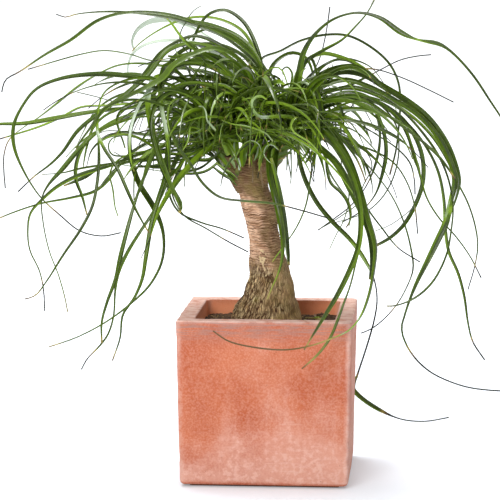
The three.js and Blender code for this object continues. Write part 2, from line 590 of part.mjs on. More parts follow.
// A blade as a row of three-cornered sections: two edges and a keel below.
// `face` is the way the blade's upper side leans; each step carries the side on and leans it back.
function bladeRings(points, width, face) {
  const rings = [];
  const last = points.length - 1;
  let normal = face.clone();
  for (let k = 0; k < last; k += 1) {
    const ahead = points[k + 1].clone().sub(points[Math.max(k - 1, 0)]).normalize();
    normal.lerp(face, 0.45);
    normal.addScaledVector(ahead, -normal.dot(ahead)).normalize();
    const side = ahead.clone().cross(normal);
    const half = bladeWidth(width, k / last) / 2;
    const keel = Math.min(BLADE_KEEL, half * 1.2);
    rings.push([
      points[k].clone().addScaledVector(side, half),
      points[k].clone().addScaledVector(normal, -keel),
      points[k].clone().addScaledVector(side, -half),
    ]);
  }
  rings.push([points[last]]);
  return rings;
}

// Points at equal distances along a smooth curve through the given points.
function evenPoints(points, count) {
  return new THREE.CatmullRomCurve3(points, false, 'centripetal').getSpacedPoints(count);
}

// A traced leaf: each front-view point is moved along the line of sight to its own depth.
function tracedRoute(core, entry, shift, share) {
  const [reach, , text] = entry;
  const flat = text.split(', ').map((pair) => pair.split(' ').map(Number));
  const hangs = flat[0][1] * 10 < core.start.z;
  const heading = Math.atan2((reach + shift) / 2 - core.start.y, flat[3][0] * 10 - core.start.x);
  const root = rootOf(core, hangs ? 0.3 : 0.15 + 0.75 * share, heading);
  const outward = hangs ? 5 : 2;
  const route = [root];
  const lengths = [0];
  let total = 0;
  let before = [root.x / 10, root.z / 10];
  for (const point of flat) {
    total += Math.hypot(point[0] - before[0], point[1] - before[1]);
    lengths.push(total);
    before = point;
  }
  flat.forEach(([x, z], i) => {
    const t = lengths[i + 1] / total;
    const depth = root.y + (reach + shift - root.y) * (1 - Math.pow(1 - t, outward));
    const seen = new THREE.Vector3(x * 10, 0, z * 10);
    const scale = (depth - VIEWPOINT.y) / -VIEWPOINT.y;
    route.push(VIEWPOINT.clone().lerp(seen, scale));
  });
  return evenPoints(route, Math.round(total * 10 / TRACED_STEP));
}

// A leaf by rule: it leaves the core at a heading and a climb, then bows down more and more.
function ruleRoute(core, heading, climb, length, droop, sway) {
  const out = new THREE.Vector3(Math.cos(heading), Math.sin(heading), 0);
  const point = rootOf(core, 0.1 + 0.8 * climb / 1.4, heading);
  const route = [point.clone()];
  const fine = 24;
  for (let k = 0; k < fine; k += 1) {
    const t = (k + 0.5) / fine;
    const pitch = climb - droop * Math.pow(t, 0.85);
    const turn = sway * t;
    out.set(Math.cos(heading + turn), Math.sin(heading + turn), 0);
    const step = length / fine;
    point.addScaledVector(out, step * Math.cos(pitch));
    point.z += step * Math.sin(pitch);
    route.push(point.clone());
  }
  return evenPoints(route, RULE_STEPS);
}

// Shortest distance between two straight pieces.
function pieceDistance(a, b, c, d) {
  const u = b.clone().sub(a);
  const v = d.clone().sub(c);
  const w = a.clone().sub(c);
  const uu = u.dot(u);
  const vv = v.dot(v);
  const uv = u.dot(v);
  const uw = u.dot(w);
  const vw = v.dot(w);
  const det = uu * vv - uv * uv;
  let s = det > 1e-9 ? THREE.MathUtils.clamp((uv * vw - vv * uw) / det, 0, 1) : 0;
  const t = THREE.MathUtils.clamp((uv * s + vw) / vv, 0, 1);
  s = THREE.MathUtils.clamp((uv * t - uw) / uu, 0, 1);
  return w.addScaledVector(u, s).addScaledVector(v, -t).length();
}

// Whether a leaf keeps clear of one that is already placed. Leaves of one head may touch near
// their roots.
function keepsClear(leaf, other) {
  const sameHead = leaf.head === other.head;
  const slack = sameHead ? 0.2 : 1.2;
  const skip = sameHead ? 75 : 0;
  for (let i = 0; i + 1 < leaf.points.length; i += 1) {
    if (leaf.points[i].distanceTo(leaf.points[0]) < skip) continue;
    for (let j = 0; j + 1 < other.points.length; j += 1) {
      if (other.points[j].distanceTo(other.points[0]) < skip) continue;
      const halves = bladeWidth(leaf.width, i / (leaf.points.length - 1)) / 2
        + bladeWidth(other.width, j / (other.points.length - 1)) / 2;
      const need = halves * 0.8 + slack;
      if (leaf.points[i].distanceTo(other.points[j]) > need + 130) continue;
      const gap = pieceDistance(leaf.points[i], leaf.points[i + 1],
        other.points[j], other.points[j + 1]);
      if (gap < need) return false;
    }
  }
  return true;
}

// Whether a leaf stays outside the pot, the trunk and the cores of the other heads.
function missesTheRest(leaf) {
  const half = POT_TOP / 2 + 4;
  const own = coreOf(leaf.head);
  const armEnd = new THREE.Vector3(...ARMS[leaf.head].to);
  for (const name of Object.keys(ARMS)) {
    if (name === leaf.head) continue;
    const core = coreOf(name);
    const tip = core.end;
    const low = new THREE.Vector3(...ARMS[name].from);
    for (let i = 0; i + 1 < leaf.points.length; i += 1) {
      const gap = pieceDistance(leaf.points[i], leaf.points[i + 1], low, tip);
      if (gap < core.radius + 6 + leaf.width / 2) return false;
    }
  }
  for (let i = 1; i < leaf.points.length; i += 1) {
    for (const share of [0, 0.25, 0.5, 0.75]) {
      const p = leaf.points[i].clone().lerp(leaf.points[i - 1], share);
      if (p.z < POT_HEIGHT + 4 && Math.abs(p.x) < half && Math.abs(p.y) < half) return false;
      if (p.z < 440) {
        const off = Math.hypot(p.x - along(TRUNK, p.z, 1), p.y);
        if (off < along(TRUNK, p.z, 2) / 2 + 4 + leaf.width / 2) return false;
      }
      if (p.z < 8) return false;
      const beside = p.clone().sub(armEnd);
      const up = beside.dot(own.axis);
      beside.addScaledVector(own.axis, -up);
      if (up < 2 && up > -50 && beside.length() < own.radius + 3 + leaf.width / 2) return false;
    }
  }
  return true;
}

function insideLobes(points) {
  return points.every((p) => {
    const scale = -VIEWPOINT.y / (p.y - VIEWPOINT.y);
    const seen = VIEWPOINT.clone().lerp(p, scale);
    if (Math.abs(p.y) > REACH_BACK) return false;
    return LOBES.some(([x, z, a, b]) => ((seen.x - x) / a) ** 2 + ((seen.z - z) / b) ** 2 < 1);
  });
}

// Traced leaves come first. One that would touch another head's leaf, the pot or the trunk is
// brought forward or put back in growing steps until it is clear.
function placeTraced(placed) {
  let missed = 0;
  for (const [head, entries] of Object.entries(TRACED)) {
    const core = coreOf(head);
    entries.forEach((entry, number) => {
      const share = (number * GOLDEN_SHARE) % 1;
      for (let attempt = 0; attempt < 40; attempt += 1) {
        const shift = (attempt % 2 ? 1 : -1) * Math.ceil(attempt / 2) * 9;
        const points = tracedRoute(core, entry, shift, share);
        const lean = 0.45 + 0.4 * share;
        const way = points[points.length - 1].x < core.start.x ? -1 : 1;
        const face = new THREE.Vector3(0.25 * way, -lean, 1 - 0.6 * lean).normalize();
        const leaf = { points, width: entry[1], face, head };
        const others = placed.filter((other) => other.head !== head);
        if (missesTheRest(leaf) && others.every((other) => keepsClear(leaf, other))) {
          placed.push(leaf);
          return;
        }
      }
      missed += 1;
    });
  }
  return missed;
}

// The leaves by rule follow each other round the head at the golden angle. Each is drawn again,
// a little different, until it fits among the others.
function placeByRule(placed) {
  let missed = 0;
  for (const [head, { count, seed }] of Object.entries(FILL)) {
    const core = coreOf(head);
    for (let number = 0; number < count; number += 1) {
      const random = seeded(seed * 1000 + number);
      let done = false;
      for (let attempt = 0; attempt < 60 && !done; attempt += 1) {
        const heading = number * GOLDEN_ANGLE + (random() - 0.5) * 1.2;
        const climb = 0.3 + 1.1 * random();
        const shrink = 1 - attempt / 90;
        const length = (120 + 190 * random()) * shrink;
        const droop = 1.4 + 1.5 * random();
        const sway = (random() - 0.5) * 1.1;
        const width = 5 + 3.5 * random();
        const points = ruleRoute(core, heading, climb, length, droop, sway);
        const side = random() < 0.5 ? -1 : 1;
        const lean = 0.3 + 0.4 * random();
        const face = new THREE.Vector3(
          -Math.sin(heading) * side * lean - 0.2 * Math.cos(heading),
          Math.cos(heading) * side * lean - 0.2 * Math.sin(heading),
          1 - 0.5 * lean,
        ).normalize();
        const leaf = { points, width, face, head };
        if (insideLobes(points) && missesTheRest(leaf)
          && placed.every((other) => keepsClear(leaf, other))) {
          placed.push(leaf);
          done = true;
        }
      }
      if (!done) missed += 1;
    }
  }
  return missed;
}

function makeHead(name, leaves) {
  const { start, end, radius } = coreOf(name);
  let head = toSolid(taper(start, end, radius, CORE_TIP, 10, 1.5));
  for (const leaf of leaves.filter((one) => one.head === name)) {
    const blade = toSolid(loft(bladeRings(leaf.points, leaf.width, leaf.face)));
    let joined;
    for (const step of NUDGES) {
      joined = oneBody(head.add(blade.translate(step, step, -step)));
      if (joinsCleanly(joined)) break;
    }
    head = joined;
  }
  return toGeometry(head);
}

// ---------------------------------------------------------------- the whole plant

const LOOKS = {
  terracotta: { color: 0xd2805f, roughness: 0.85, metalness: 0 },
  soil: { color: 0x3b2d22, roughness: 1, metalness: 0 },
  bark: { color: 0xb08a63, roughness: 0.9, metalness: 0 },
  leaf: { color: 0x4f7a2c, roughness: 0.5, metalness: 0 },
};

function part(name, geometry, look) {
  const mesh = new THREE.Mesh(geometry, new THREE.MeshStandardMaterial(LOOKS[look]));
  mesh.name = name;
  return mesh;
}

const leaves = [];
placeTraced(leaves);
placeByRule(leaves);

const plant = new THREE.Group();
plant.add(part('pot', makePot(), 'terracotta'));
plant.add(part('soil', makeSoil(), 'soil'));
plant.add(part('trunk', makeTrunk(), 'bark'));
plant.add(part('crown_left', makeHead('left', leaves), 'leaf'));
plant.add(part('crown_centre', makeHead('centre', leaves), 'leaf'));
plant.add(part('crown_right', makeHead('right', leaves), 'leaf'));

export default plant;
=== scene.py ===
# %% [markdown]
# # A ponytail palm in a square terracotta pot
# The real plant is a thick corky trunk that forks into three heads of long, thin strap leaves. It
# stands in potting mix in a heavy square clay pot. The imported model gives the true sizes, and this
# lesson dresses it: each cell makes one piece or one finish, and prints what it made.

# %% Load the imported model
import math

import bmesh
import bpy
import numpy as np
from mathutils import Matrix, Vector


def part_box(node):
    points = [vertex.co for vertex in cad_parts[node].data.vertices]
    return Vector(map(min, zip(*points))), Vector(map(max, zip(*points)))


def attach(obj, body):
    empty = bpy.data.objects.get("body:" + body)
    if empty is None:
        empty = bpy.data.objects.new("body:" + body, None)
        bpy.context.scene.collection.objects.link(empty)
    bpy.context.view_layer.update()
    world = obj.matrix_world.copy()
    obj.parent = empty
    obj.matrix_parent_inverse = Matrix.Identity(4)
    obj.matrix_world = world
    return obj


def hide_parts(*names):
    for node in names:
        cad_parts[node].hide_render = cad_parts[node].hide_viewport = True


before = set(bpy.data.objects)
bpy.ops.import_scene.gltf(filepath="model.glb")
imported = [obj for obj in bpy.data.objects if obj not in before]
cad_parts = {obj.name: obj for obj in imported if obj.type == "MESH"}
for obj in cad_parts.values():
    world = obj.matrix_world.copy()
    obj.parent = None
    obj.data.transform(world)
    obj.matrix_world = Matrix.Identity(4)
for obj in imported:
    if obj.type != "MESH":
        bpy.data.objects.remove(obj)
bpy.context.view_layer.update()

# %% [markdown]
# ## Sizes
# All lengths are in millimetres until a mesh is written, when they are divided by 1000. The pot's
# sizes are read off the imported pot. The rest repeats the few driving sizes of the solids.

# %% Sizes that everything follows from
MM = 0.001
POT_LOW, POT_HIGH = (np.array(corner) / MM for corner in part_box("pot"))
POT_TOP = POT_HIGH[0] - POT_LOW[0]
POT_HEIGHT = POT_HIGH[2]
POT_BOTTOM = 231.0
WALL = 22.5
INSIDE_BOTTOM = 178.0
FLOOR_TOP = 25.0
FOOT_HEIGHT = 3.0
FOOT_INSET = 5.5
SOIL_TOP = 214.0
GAP = 0.3
DRAIN_RADIUS = 7.0
DRAIN_OFFSET = 42.0
TRUNK_FOOT = 168.0
TRUNK_X = -4.5
COLLAR = 221.0
print("pot: %.0f mm wide at the rim, %.0f mm high" % (POT_TOP, POT_HEIGHT))

# %% [markdown]
# ## The camera
# The photograph was taken from far away with a long lens: the pot's sides hardly converge. The
# viewpoint is a little above the rim and a little to the right. The same viewpoint is also used to
# place the traced leaves, so that each one lies on its own line of sight. ZOOM turns a slope beside
# the line of sight into steps of the picture, which is 500 steps wide and 500 high.

# %% Camera
VIEWPOINT = np.array([232.0, -3464.6, 741.3])
AIM = np.array([-27.44, 0.0, 317.94])
LENS = 177.9
FILM = 36.0
PICTURE = 500
MIDDLE = PICTURE / 2
ZOOM = LENS / FILM * PICTURE


def new_object(name, data):
    """An object in the scene that carries the data."""
    made = bpy.data.objects.new(name, data)
    bpy.context.scene.collection.objects.link(made)
    return made


def add_camera():
    """A camera at VIEWPOINT that looks straight at AIM, level from side to side."""
    data = bpy.data.cameras.new("camera")
    data.lens = LENS
    data.clip_end = 100
    camera = new_object("camera", data)
    camera.location = Vector(VIEWPOINT * MM)
    camera.rotation_euler = Vector((AIM - VIEWPOINT) * MM).to_track_quat("-Z", "Y").to_euler()
    bpy.context.scene.camera = camera


add_camera()
print("camera is %.2f m from what it looks at" % (np.linalg.norm(AIM - VIEWPOINT) * MM))

# %% [markdown]
# ## Helpers: from arrays to a mesh
# Every surface here is worked out as an array of points, then handed to Blender in one go. A piece's
# object stays at the origin, and its place is in its points.

# %% Mesh helpers


def add_piece(name, points, faces, material, material_slot, replaces=(), **attributes):
    """A smooth mesh object from points in mm and faces, in its finish, with one number per point in
    each named attribute. It rides with the pot and plant, which are one body."""
    mesh = bpy.data.meshes.new(name)
    mesh.from_pydata((np.asarray(points) * MM).tolist(), [], [list(map(int, f)) for f in faces])
    for key, values in attributes.items():
        layer = mesh.attributes.new(key, "FLOAT", "POINT")
        layer.data.foreach_set("value", np.asarray(values, dtype=np.float32).ravel())
    mesh.polygons.foreach_set("use_smooth", np.ones(len(mesh.polygons), bool))
    mesh.materials.append(material)
    mesh.update()
    piece = new_object(name, mesh)
    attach(piece, "root")
    if replaces:
        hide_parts(*replaces)
    print("%s: %d points, %d faces" % (name, len(mesh.vertices), len(mesh.polygons)))
    return piece


def tube_faces(rings, around, start=0):
    """Faces of a closed tube: rings * around points, each ring joined to the next, and each end
    closed by one face. Rings run counter-clockwise seen from the far end."""
    i, j = np.meshgrid(np.arange(rings - 1), np.arange(around), indexing="ij")
    k = (j + 1) % around
    quads = np.stack([i * around + j, i * around + k, (i + 1) * around + k, (i + 1) * around + j], -1)
    faces = (quads.reshape(-1, 4) + start).tolist()
    last = start + (rings - 1) * around
    faces.append([start + n for n in range(around)][::-1])
    faces.append([last + n for n in range(around)])
    return faces


def add_tubes(name, tubes, material, material_slot, replaces=()):
    """One piece from many closed tubes. Each is its grid of points, and for every attribute a number,
    a row or a whole grid of numbers."""
    points, faces, marks, first = [], [], {}, 0
    for rings, numbers in tubes:
        rows, around = rings.shape[:2]
        points.append(rings.reshape(-1, 3))
        faces += tube_faces(rows, around, first)
        for key, values in numbers.items():
            marks.setdefault(key, []).append(np.broadcast_to(values, (rows, around)).ravel())
        first += rows * around
    marks = {key: np.concatenate(values) for key, values in marks.items()}
    return add_piece(name, np.concatenate(points), faces, material, material_slot, replaces, **marks)


def unit(v):
    """The same directions with length 1."""
    return v / np.linalg.norm(v, axis=-1, keepdims=True)


def square_to(axis):
    """Two directions that are square to an axis and to each other."""
    side = unit(np.cross([0, 1, 0], axis))
    return side, np.cross(axis, side)


def fade(value, low, high):
    """Smooth step: 0 below low, 1 above high, and an easy slope between them."""
    t = np.clip((value - low) / (high - low), 0, 1)
    return t * t * (3 - 2 * t)


# %% [markdown]
# ## Helpers: noise for relief
# Bark, clay and soil are never even. `lumps` is value noise: random numbers on a lattice, blended
# smoothly between its corners. `cell_border` is cell noise: how much farther the second nearest of a
# set of scattered points is than the nearest. Where the two are nearly equal runs a border between
# two cells, and such borders are how cork cracks.

# %% Noise


def lattice(cell, seed):
    """A repeatable random number from 0 to 1 for each whole-number cell."""
    with np.errstate(over="ignore"):
        h = np.uint64(seed * 7919 + 17) * np.ones(cell.shape[:-1], np.uint64)
        for axis in range(cell.shape[-1]):
            h ^= cell[..., axis].astype(np.int64).astype(np.uint64) * np.uint64(0x9E3779B97F4A7C15)
            h = (h ^ (h >> np.uint64(29))) * np.uint64(0xBF58476D1CE4E5B9)
        h ^= h >> np.uint64(32)
    return (h & np.uint64(0xFFFFFF)).astype(float) / 0xFFFFFF


def lumps(points, size, seed=1, octaves=1):
    """Smooth noise from -1 to 1 with lumps of about the given size. Each further octave adds lumps
    half as large and half as strong."""
    total = np.zeros(points.shape[:-1])
    strength = 1.0
    for octave in range(octaves):
        p = points / (size * 0.5 ** octave)
        base = np.floor(p)
        f = p - base
        f = f * f * (3 - 2 * f)
        value = np.zeros(points.shape[:-1])
        for corner in np.ndindex(*(2,) * points.shape[-1]):
            corner = np.array(corner)
            weight = np.prod(np.where(corner, f, 1 - f), axis=-1)
            value += weight * lattice(base + corner, seed + 31 * octave)
        total += strength * (2 * value - 1)
        strength *= 0.5
    return total


def cell_border(points, seed):
    """How far inside a cell each point is: its distance to the second nearest, less that to the
    nearest, of points scattered one to a unit cell."""
    base = np.floor(points)
    axes = points.shape[-1]
    near = np.full(points.shape[:-1], 9.0)
    second = near.copy()
    for step in np.ndindex(*(3,) * axes):
        cell = base + np.array(step) - 1
        spot = cell + np.stack([lattice(cell, seed + 101 * (n + 1)) for n in range(axes)], -1)
        gap = np.linalg.norm(spot - points, axis=-1)
        second = np.where(gap < near, near, np.minimum(second, gap))
        near = np.minimum(near, gap)
    return second - near


# %% [markdown]
# ## Helpers for materials
# A material is a small network of nodes. `node` adds one, sets its options, and fills its inputs with
# numbers or with the outputs of other nodes. The short helpers after it are the steps that every
# finish here is made of: a sum, a mix of two colours, a stretched range, a number that the piece
# carries on its points, and the place on the object.

# %% Material helpers


def node(tree, kind, inputs=None, **options):
    """Adds a node, sets its options, and fills its inputs, named or numbered, with a value or with
    the output of another node."""
    made = tree.nodes.new(kind)
    for key, value in options.items():
        setattr(made, key, value)
    for key, value in (inputs or {}).items():
        if isinstance(value, bpy.types.NodeSocket):
            tree.links.new(value, made.inputs[key])
        else:
            made.inputs[key].default_value = value
    return made


def maths(tree, operation, a, b=0.0, clamp=False):
    """One sum on two numbers."""
    return node(tree, "ShaderNodeMath", {0: a, 1: b}, operation=operation, use_clamp=clamp).outputs[0]


def times(tree, a, b):
    """The product of two numbers."""
    return maths(tree, "MULTIPLY", a, b)


def blend(tree, share, low, high):
    """The colour low where share is 0 and high where it is 1. A colour is an output or (r, g, b)."""
    low, high = ((*paint, 1) if isinstance(paint, tuple) else paint for paint in (low, high))
    return node(tree, "ShaderNodeMix", {0: share, 6: low, 7: high}, data_type="RGBA").outputs[2]


def coats(tree, colour, *layers):
    """Thin coats over a colour, one after another. Each is a mask, how well it covers and its colour."""
    for mask, cover, paint in layers:
        colour = blend(tree, times(tree, mask, cover) if cover < 1 else mask, colour, paint)
    return colour


def ramp(tree, value, low, high, out_low=0.0, out_high=1.0):
    """Stretches the range low..high of a number to out_low..out_high, eased and clamped."""
    stretch = {"Value": value, "From Min": low, "From Max": high, "To Min": out_low, "To Max": out_high}
    return node(tree, "ShaderNodeMapRange", stretch, interpolation_type="SMOOTHSTEP").outputs[0]


def number(tree, name):
    """A number stored on the piece's points."""
    return node(tree, "ShaderNodeAttribute", attribute_name=name).outputs["Fac"]


def place(tree, stretch=(1, 1, 1)):
    """The point on the object, in metres, with each axis stretched."""
    spot = node(tree, "ShaderNodeTexCoord").outputs["Object"]
    return node(tree, "ShaderNodeMapping", {"Vector": spot, "Scale": stretch}).outputs[0]


def new_material(name, shine):
    """An empty material with a Principled shader: the material, its node tree and the shader. Shine
    is how strongly the bare surface reflects."""
    material = bpy.data.materials.new(name)
    material.use_nodes = True
    tree = material.node_tree
    tree.nodes.clear()
    shader = node(tree, "ShaderNodeBsdfPrincipled", {"Specular IOR Level": shine})
    node(tree, "ShaderNodeOutputMaterial", {"Surface": shader.outputs[0]})
    return material, tree, shader


def feed(tree, shader, colour, rough, height, strength, distance):
    """Leads a colour, a roughness and a bump height, in metres, into the shader."""
    tree.links.new(colour, shader.inputs["Base Color"])
    tree.links.new(rough, shader.inputs["Roughness"])
    bump = node(tree, "ShaderNodeBump", {"Strength": strength, "Distance": distance, "Height": height})
    tree.links.new(bump.outputs[0], shader.inputs["Normal"])


# %% [markdown]
# ## Effects that several finishes share
# Soft patches of another colour are seen on clay, mix, bark and leaf alike, at their own scales, and
# the clay has small dark specks too. Each is a node group: a network with named inputs that is built
# once. A material places it as one node and gives it its own values.

# %% Shared node groups


def new_group(name, **numbers):
    """An empty node group that takes a Place and named numbers, and gives a Mask."""
    group = bpy.data.node_groups.new(name, "ShaderNodeTree")
    new_socket = group.interface.new_socket
    new_socket("Place", in_out="INPUT", socket_type="NodeSocketVector")
    for label, value in numbers.items():
        new_socket(label, in_out="INPUT", socket_type="NodeSocketFloat").default_value = value
    new_socket("Mask", in_out="OUTPUT", socket_type="NodeSocketFloat")
    return group, node(group, "NodeGroupInput").outputs, node(group, "NodeGroupOutput")


def make_patches():
    """Soft-edged patches: noise of a given scale, cut off between two levels."""
    group, given, out = new_group("soft patches", Scale=10.0, Detail=4.0, From=0.45, To=0.6)
    noise = node(group, "ShaderNodeTexNoise", {"Vector": given["Place"], "Scale": given["Scale"],
                                               "Detail": given["Detail"], "Roughness": 0.6})
    mask = ramp(group, noise.outputs["Fac"], given["From"], given["To"])
    group.links.new(mask, out.inputs["Mask"])
    return group


def make_specks():
    """Ragged specks: the middles of scattered cells, each as large as noise at its place allows."""
    group, given, out = new_group("specks", Scale=300.0, Size=0.2)
    cell = node(group, "ShaderNodeTexVoronoi", {"Vector": given["Place"], "Scale": given["Scale"]})
    noise = node(group, "ShaderNodeTexNoise", {"Vector": given["Place"], "Scale": 70.0})
    reach = times(group, given["Size"], ramp(group, noise.outputs[0], 0.45, 0.7))
    edge = maths(group, "SUBTRACT", reach, cell.outputs["Distance"])
    group.links.new(ramp(group, edge, 0.0, 0.06), out.inputs["Mask"])
    return group


PATCHES = make_patches()
SPECKS = make_specks()


def fill_group(tree, group, **inputs):
    """Places a node group in a material with its own values, and gives its mask."""
    return node(tree, "ShaderNodeGroup", inputs, node_tree=group).outputs["Mask"]


def patches(tree, spot, scale, low, high, detail=4.0):
    """A mask of soft-edged patches."""
    return fill_group(tree, PATCHES, Place=spot, Scale=scale, Detail=detail, From=low, To=high)


def specks(tree, spot, scale, size):
    """A mask of scattered specks."""
    return fill_group(tree, SPECKS, Place=spot, Scale=scale, Size=size)


print("node groups:", [group.name for group in bpy.data.node_groups])

# %% [markdown]
# ## The finish of old terracotta
# Fired clay is never one colour. Salts wash out of it and dry as a pale bloom, in clouds on the faces,
# thickest low down and along the rim. Level scratches show how the clay was struck off. There are
# dark pits, grey scuffs near the rim, and a fine pale grain all over. It is matt.
#
# The clouds are too large and too loosely placed to leave to chance, so the pot carries them as a
# number on its points, `bloom`. The shader breaks their edges up with noise. Its other numbers are
# `scuffed`, `worn` on the edges, a mask that paints shade near black on the recessed foot under the
# pot, and a mask that paints light on the inner walls, so that they show a brighter orange.

# %% Terracotta
CLAY, PALE_CLAY = (0.41, 0.088, 0.036), (0.52, 0.148, 0.070)
SALT = (0.70, 0.40, 0.325)
SAND = (0.80, 0.48, 0.36)
SCUFF = (0.33, 0.185, 0.155)
# Painted light: a bright orange that stands in for light on the shaded inner walls.
PAINTED_LIGHT_CLAY = (0.86, 0.33, 0.17)
WORN_EDGE = (0.80, 0.60, 0.53)
PIT = (0.20, 0.065, 0.035)
# Painted shade: near black on the recessed foot under the pot.
FOOT_SHADE = (0.06, 0.036, 0.028)


def terracotta():
    """Orange clay under a broken bloom, with scratches, scuffs, pale worn edges and pits, painted light
    on the inner walls and painted shade on the foot.
    """
    material, tree, shader = new_material("old terracotta", 0.2)
    spot = place(tree)
    level = place(tree, (1, 1, 16))
    upright = place(tree, (1, 1, 0.16))
    clay = blend(tree, patches(tree, spot, 11.0, 0.32, 0.68, 7.0), CLAY, PALE_CLAY)
    grain = patches(tree, spot, 380.0, 0.35, 0.7, 3.0)
    flecks = patches(tree, spot, 150.0, 0.42, 0.68, 5.0)
    uneven = ramp(tree, patches(tree, spot, 24.0, 0.25, 0.75, 9.0), 0, 1, -0.18, 0.2)
    streaks = ramp(tree, patches(tree, upright, 50.0, 0.4, 0.75, 6.0), 0, 1, -0.05, 0.2)
    uneven = maths(tree, "ADD", uneven, streaks)
    clouds = ramp(tree, maths(tree, "ADD", number(tree, "bloom"), uneven), 0.05, 1.1)
    clouds = times(tree, clouds, ramp(tree, flecks, 0, 1, 0.6, 1.0))
    lines = times(tree, patches(tree, level, 17.0, 0.53, 0.74, 7.0), patches(tree, spot, 5.0, 0.4, 0.65))
    cover = maths(tree, "ADD", clouds, times(tree, lines, 0.5), clamp=True)
    scuffs = times(tree, number(tree, "scuffed"), patches(tree, level, 34.0, 0.38, 0.62, 6.0))
    worn = times(tree, number(tree, "worn"), patches(tree, spot, 60.0, 0.3, 0.6, 5.0))
    pits = specks(tree, spot, 190.0, 0.17)
    # Among the coats are painted light on the inner walls and painted shade on the foot.
    colour = coats(tree, clay, (cover, 0.92, SALT), (grain, 0.24, SAND), (scuffs, 0.9, SCUFF),
                   (number(tree, "painted_inner_light"), 0.8, PAINTED_LIGHT_CLAY), (worn, 0.75, WORN_EDGE),
                   (pits, 0.5, PIT), (number(tree, "foot_shade"), 0.9, FOOT_SHADE))
    height = maths(tree, "SUBTRACT", times(tree, flecks, 0.5), pits)
    for bumps, high in ((lines, 0.8), (grain, 0.35)):
        height = maths(tree, "ADD", height, times(tree, bumps, high))
    feed(tree, shader, colour, ramp(tree, cover, 0, 1, 0.8, 0.95), height, 0.7, 0.0006)
    return material


TERRACOTTA = terracotta()
print("made", TERRACOTTA.name)

# %% [markdown]
# ## The clay pot's surface
# A hand-pressed clay cube: its faces bow a little, its rim and corners are worn round, and its skin
# has pits and small chips. One grid makes it all. One direction of the grid runs round the pot as a
# square with round corners. The other runs up the outside, over the rim, down the inside and across
# the inner floor. The outside then swells out by 2 mm, and noise pushes each point in or out by parts
# of a millimetre.

# %% Pot surface
SWELL = 2.0
BOTTOM_EDGE = 6.0
RIM_EDGE = 2.6
CORNER = 4.5
INNER_CORNER = 9.5
SIDE_POINTS = 56
CORNER_POINTS = 7


def square_outline(width, radius):
    """Points round a square with round corners, one row per width: round each corner as a quarter
    circle, then along the next side evenly."""
    width = np.asarray(width, float)[:, None]
    radius = np.asarray(radius, float)[:, None]
    inner = width / 2 - radius
    share = np.linspace(0, 1, SIDE_POINTS + 2)[1:-1]
    rows_x, rows_y = [], []
    for corner in range(4):
        turn = np.linspace(0, np.pi / 2, CORNER_POINTS) + corner * np.pi / 2
        middle = corner * np.pi / 2 + np.pi / 4
        end = middle + np.pi / 2
        for rows, wave in ((rows_x, np.cos), (rows_y, np.sin)):
            rows.append(inner * np.sqrt(2) * wave(middle) + radius * wave(turn))
            following = inner * np.sqrt(2) * wave(end) + radius * wave(turn[-1])
            rows.append(rows[-1][:, -1:] * (1 - share) + following * share)
    return np.concatenate(rows_x, 1), np.concatenate(rows_y, 1)


def pot_profile():
    """Rows of height, width and corner radius from the middle of the foot, up the outside, over the
    worn rim and down to the inner floor."""
    rows = []
    foot = POT_BOTTOM - 2 * (BOTTOM_EDGE + FOOT_INSET)
    for share in np.linspace(0.04, 1, 6):
        rows.append((0, foot * share, 4 * share))
    rows.append((FOOT_HEIGHT, foot, 4))
    for turn in np.linspace(0, np.pi / 2, 9):
        z = FOOT_HEIGHT + BOTTOM_EDGE * (1 - np.cos(turn))
        rows.append((z, outer_width(z) - 2 * BOTTOM_EDGE * (1 - np.sin(turn)), 3 + 2.5 * np.sin(turn)))
    for z in np.linspace(12, POT_HEIGHT - RIM_EDGE, 72)[:-1]:
        rows.append((z, outer_width(z), CORNER))
    for turn in np.linspace(0, np.pi / 2, 7):
        z = POT_HEIGHT - RIM_EDGE * (1 - np.sin(turn))
        rows.append((z, outer_width(z) - 2 * RIM_EDGE * (1 - np.cos(turn)), CORNER))
    mouth = POT_TOP - 2 * WALL
    for share in np.linspace(0, 1, 9)[1:-1]:
        width = POT_TOP - 2 * RIM_EDGE + (mouth + 2 * RIM_EDGE - POT_TOP + 2 * RIM_EDGE) * share
        rows.append((POT_HEIGHT, width, CORNER + (INNER_CORNER - CORNER) * share))
    for turn in np.linspace(0, np.pi / 2, 7):
        z = POT_HEIGHT - RIM_EDGE * (1 - np.cos(turn))
        rows.append((z, inner_width(z) + 2 * RIM_EDGE * (1 - np.sin(turn)), INNER_CORNER))
    for z in np.linspace(POT_HEIGHT - RIM_EDGE, FLOOR_TOP, 26)[1:]:
        rows.append((z, inner_width(z), INNER_CORNER))
    for share in np.linspace(1, 0.04, 6)[1:]:
        rows.append((FLOOR_TOP, INSIDE_BOTTOM * share, INNER_CORNER * share))
    return np.array(rows)


def outer_width(z):
    """Width of the tapered outside at a height."""
    return POT_BOTTOM + (POT_TOP - POT_BOTTOM) * (z - FOOT_HEIGHT) / (POT_HEIGHT - FOOT_HEIGHT)


def inner_width(z):
    """Width of the tapered inside at a height."""
    top = POT_TOP - 2 * WALL
    return INSIDE_BOTTOM + (top - INSIDE_BOTTOM) * (z - FLOOR_TOP) / (POT_HEIGHT - FLOOR_TOP)


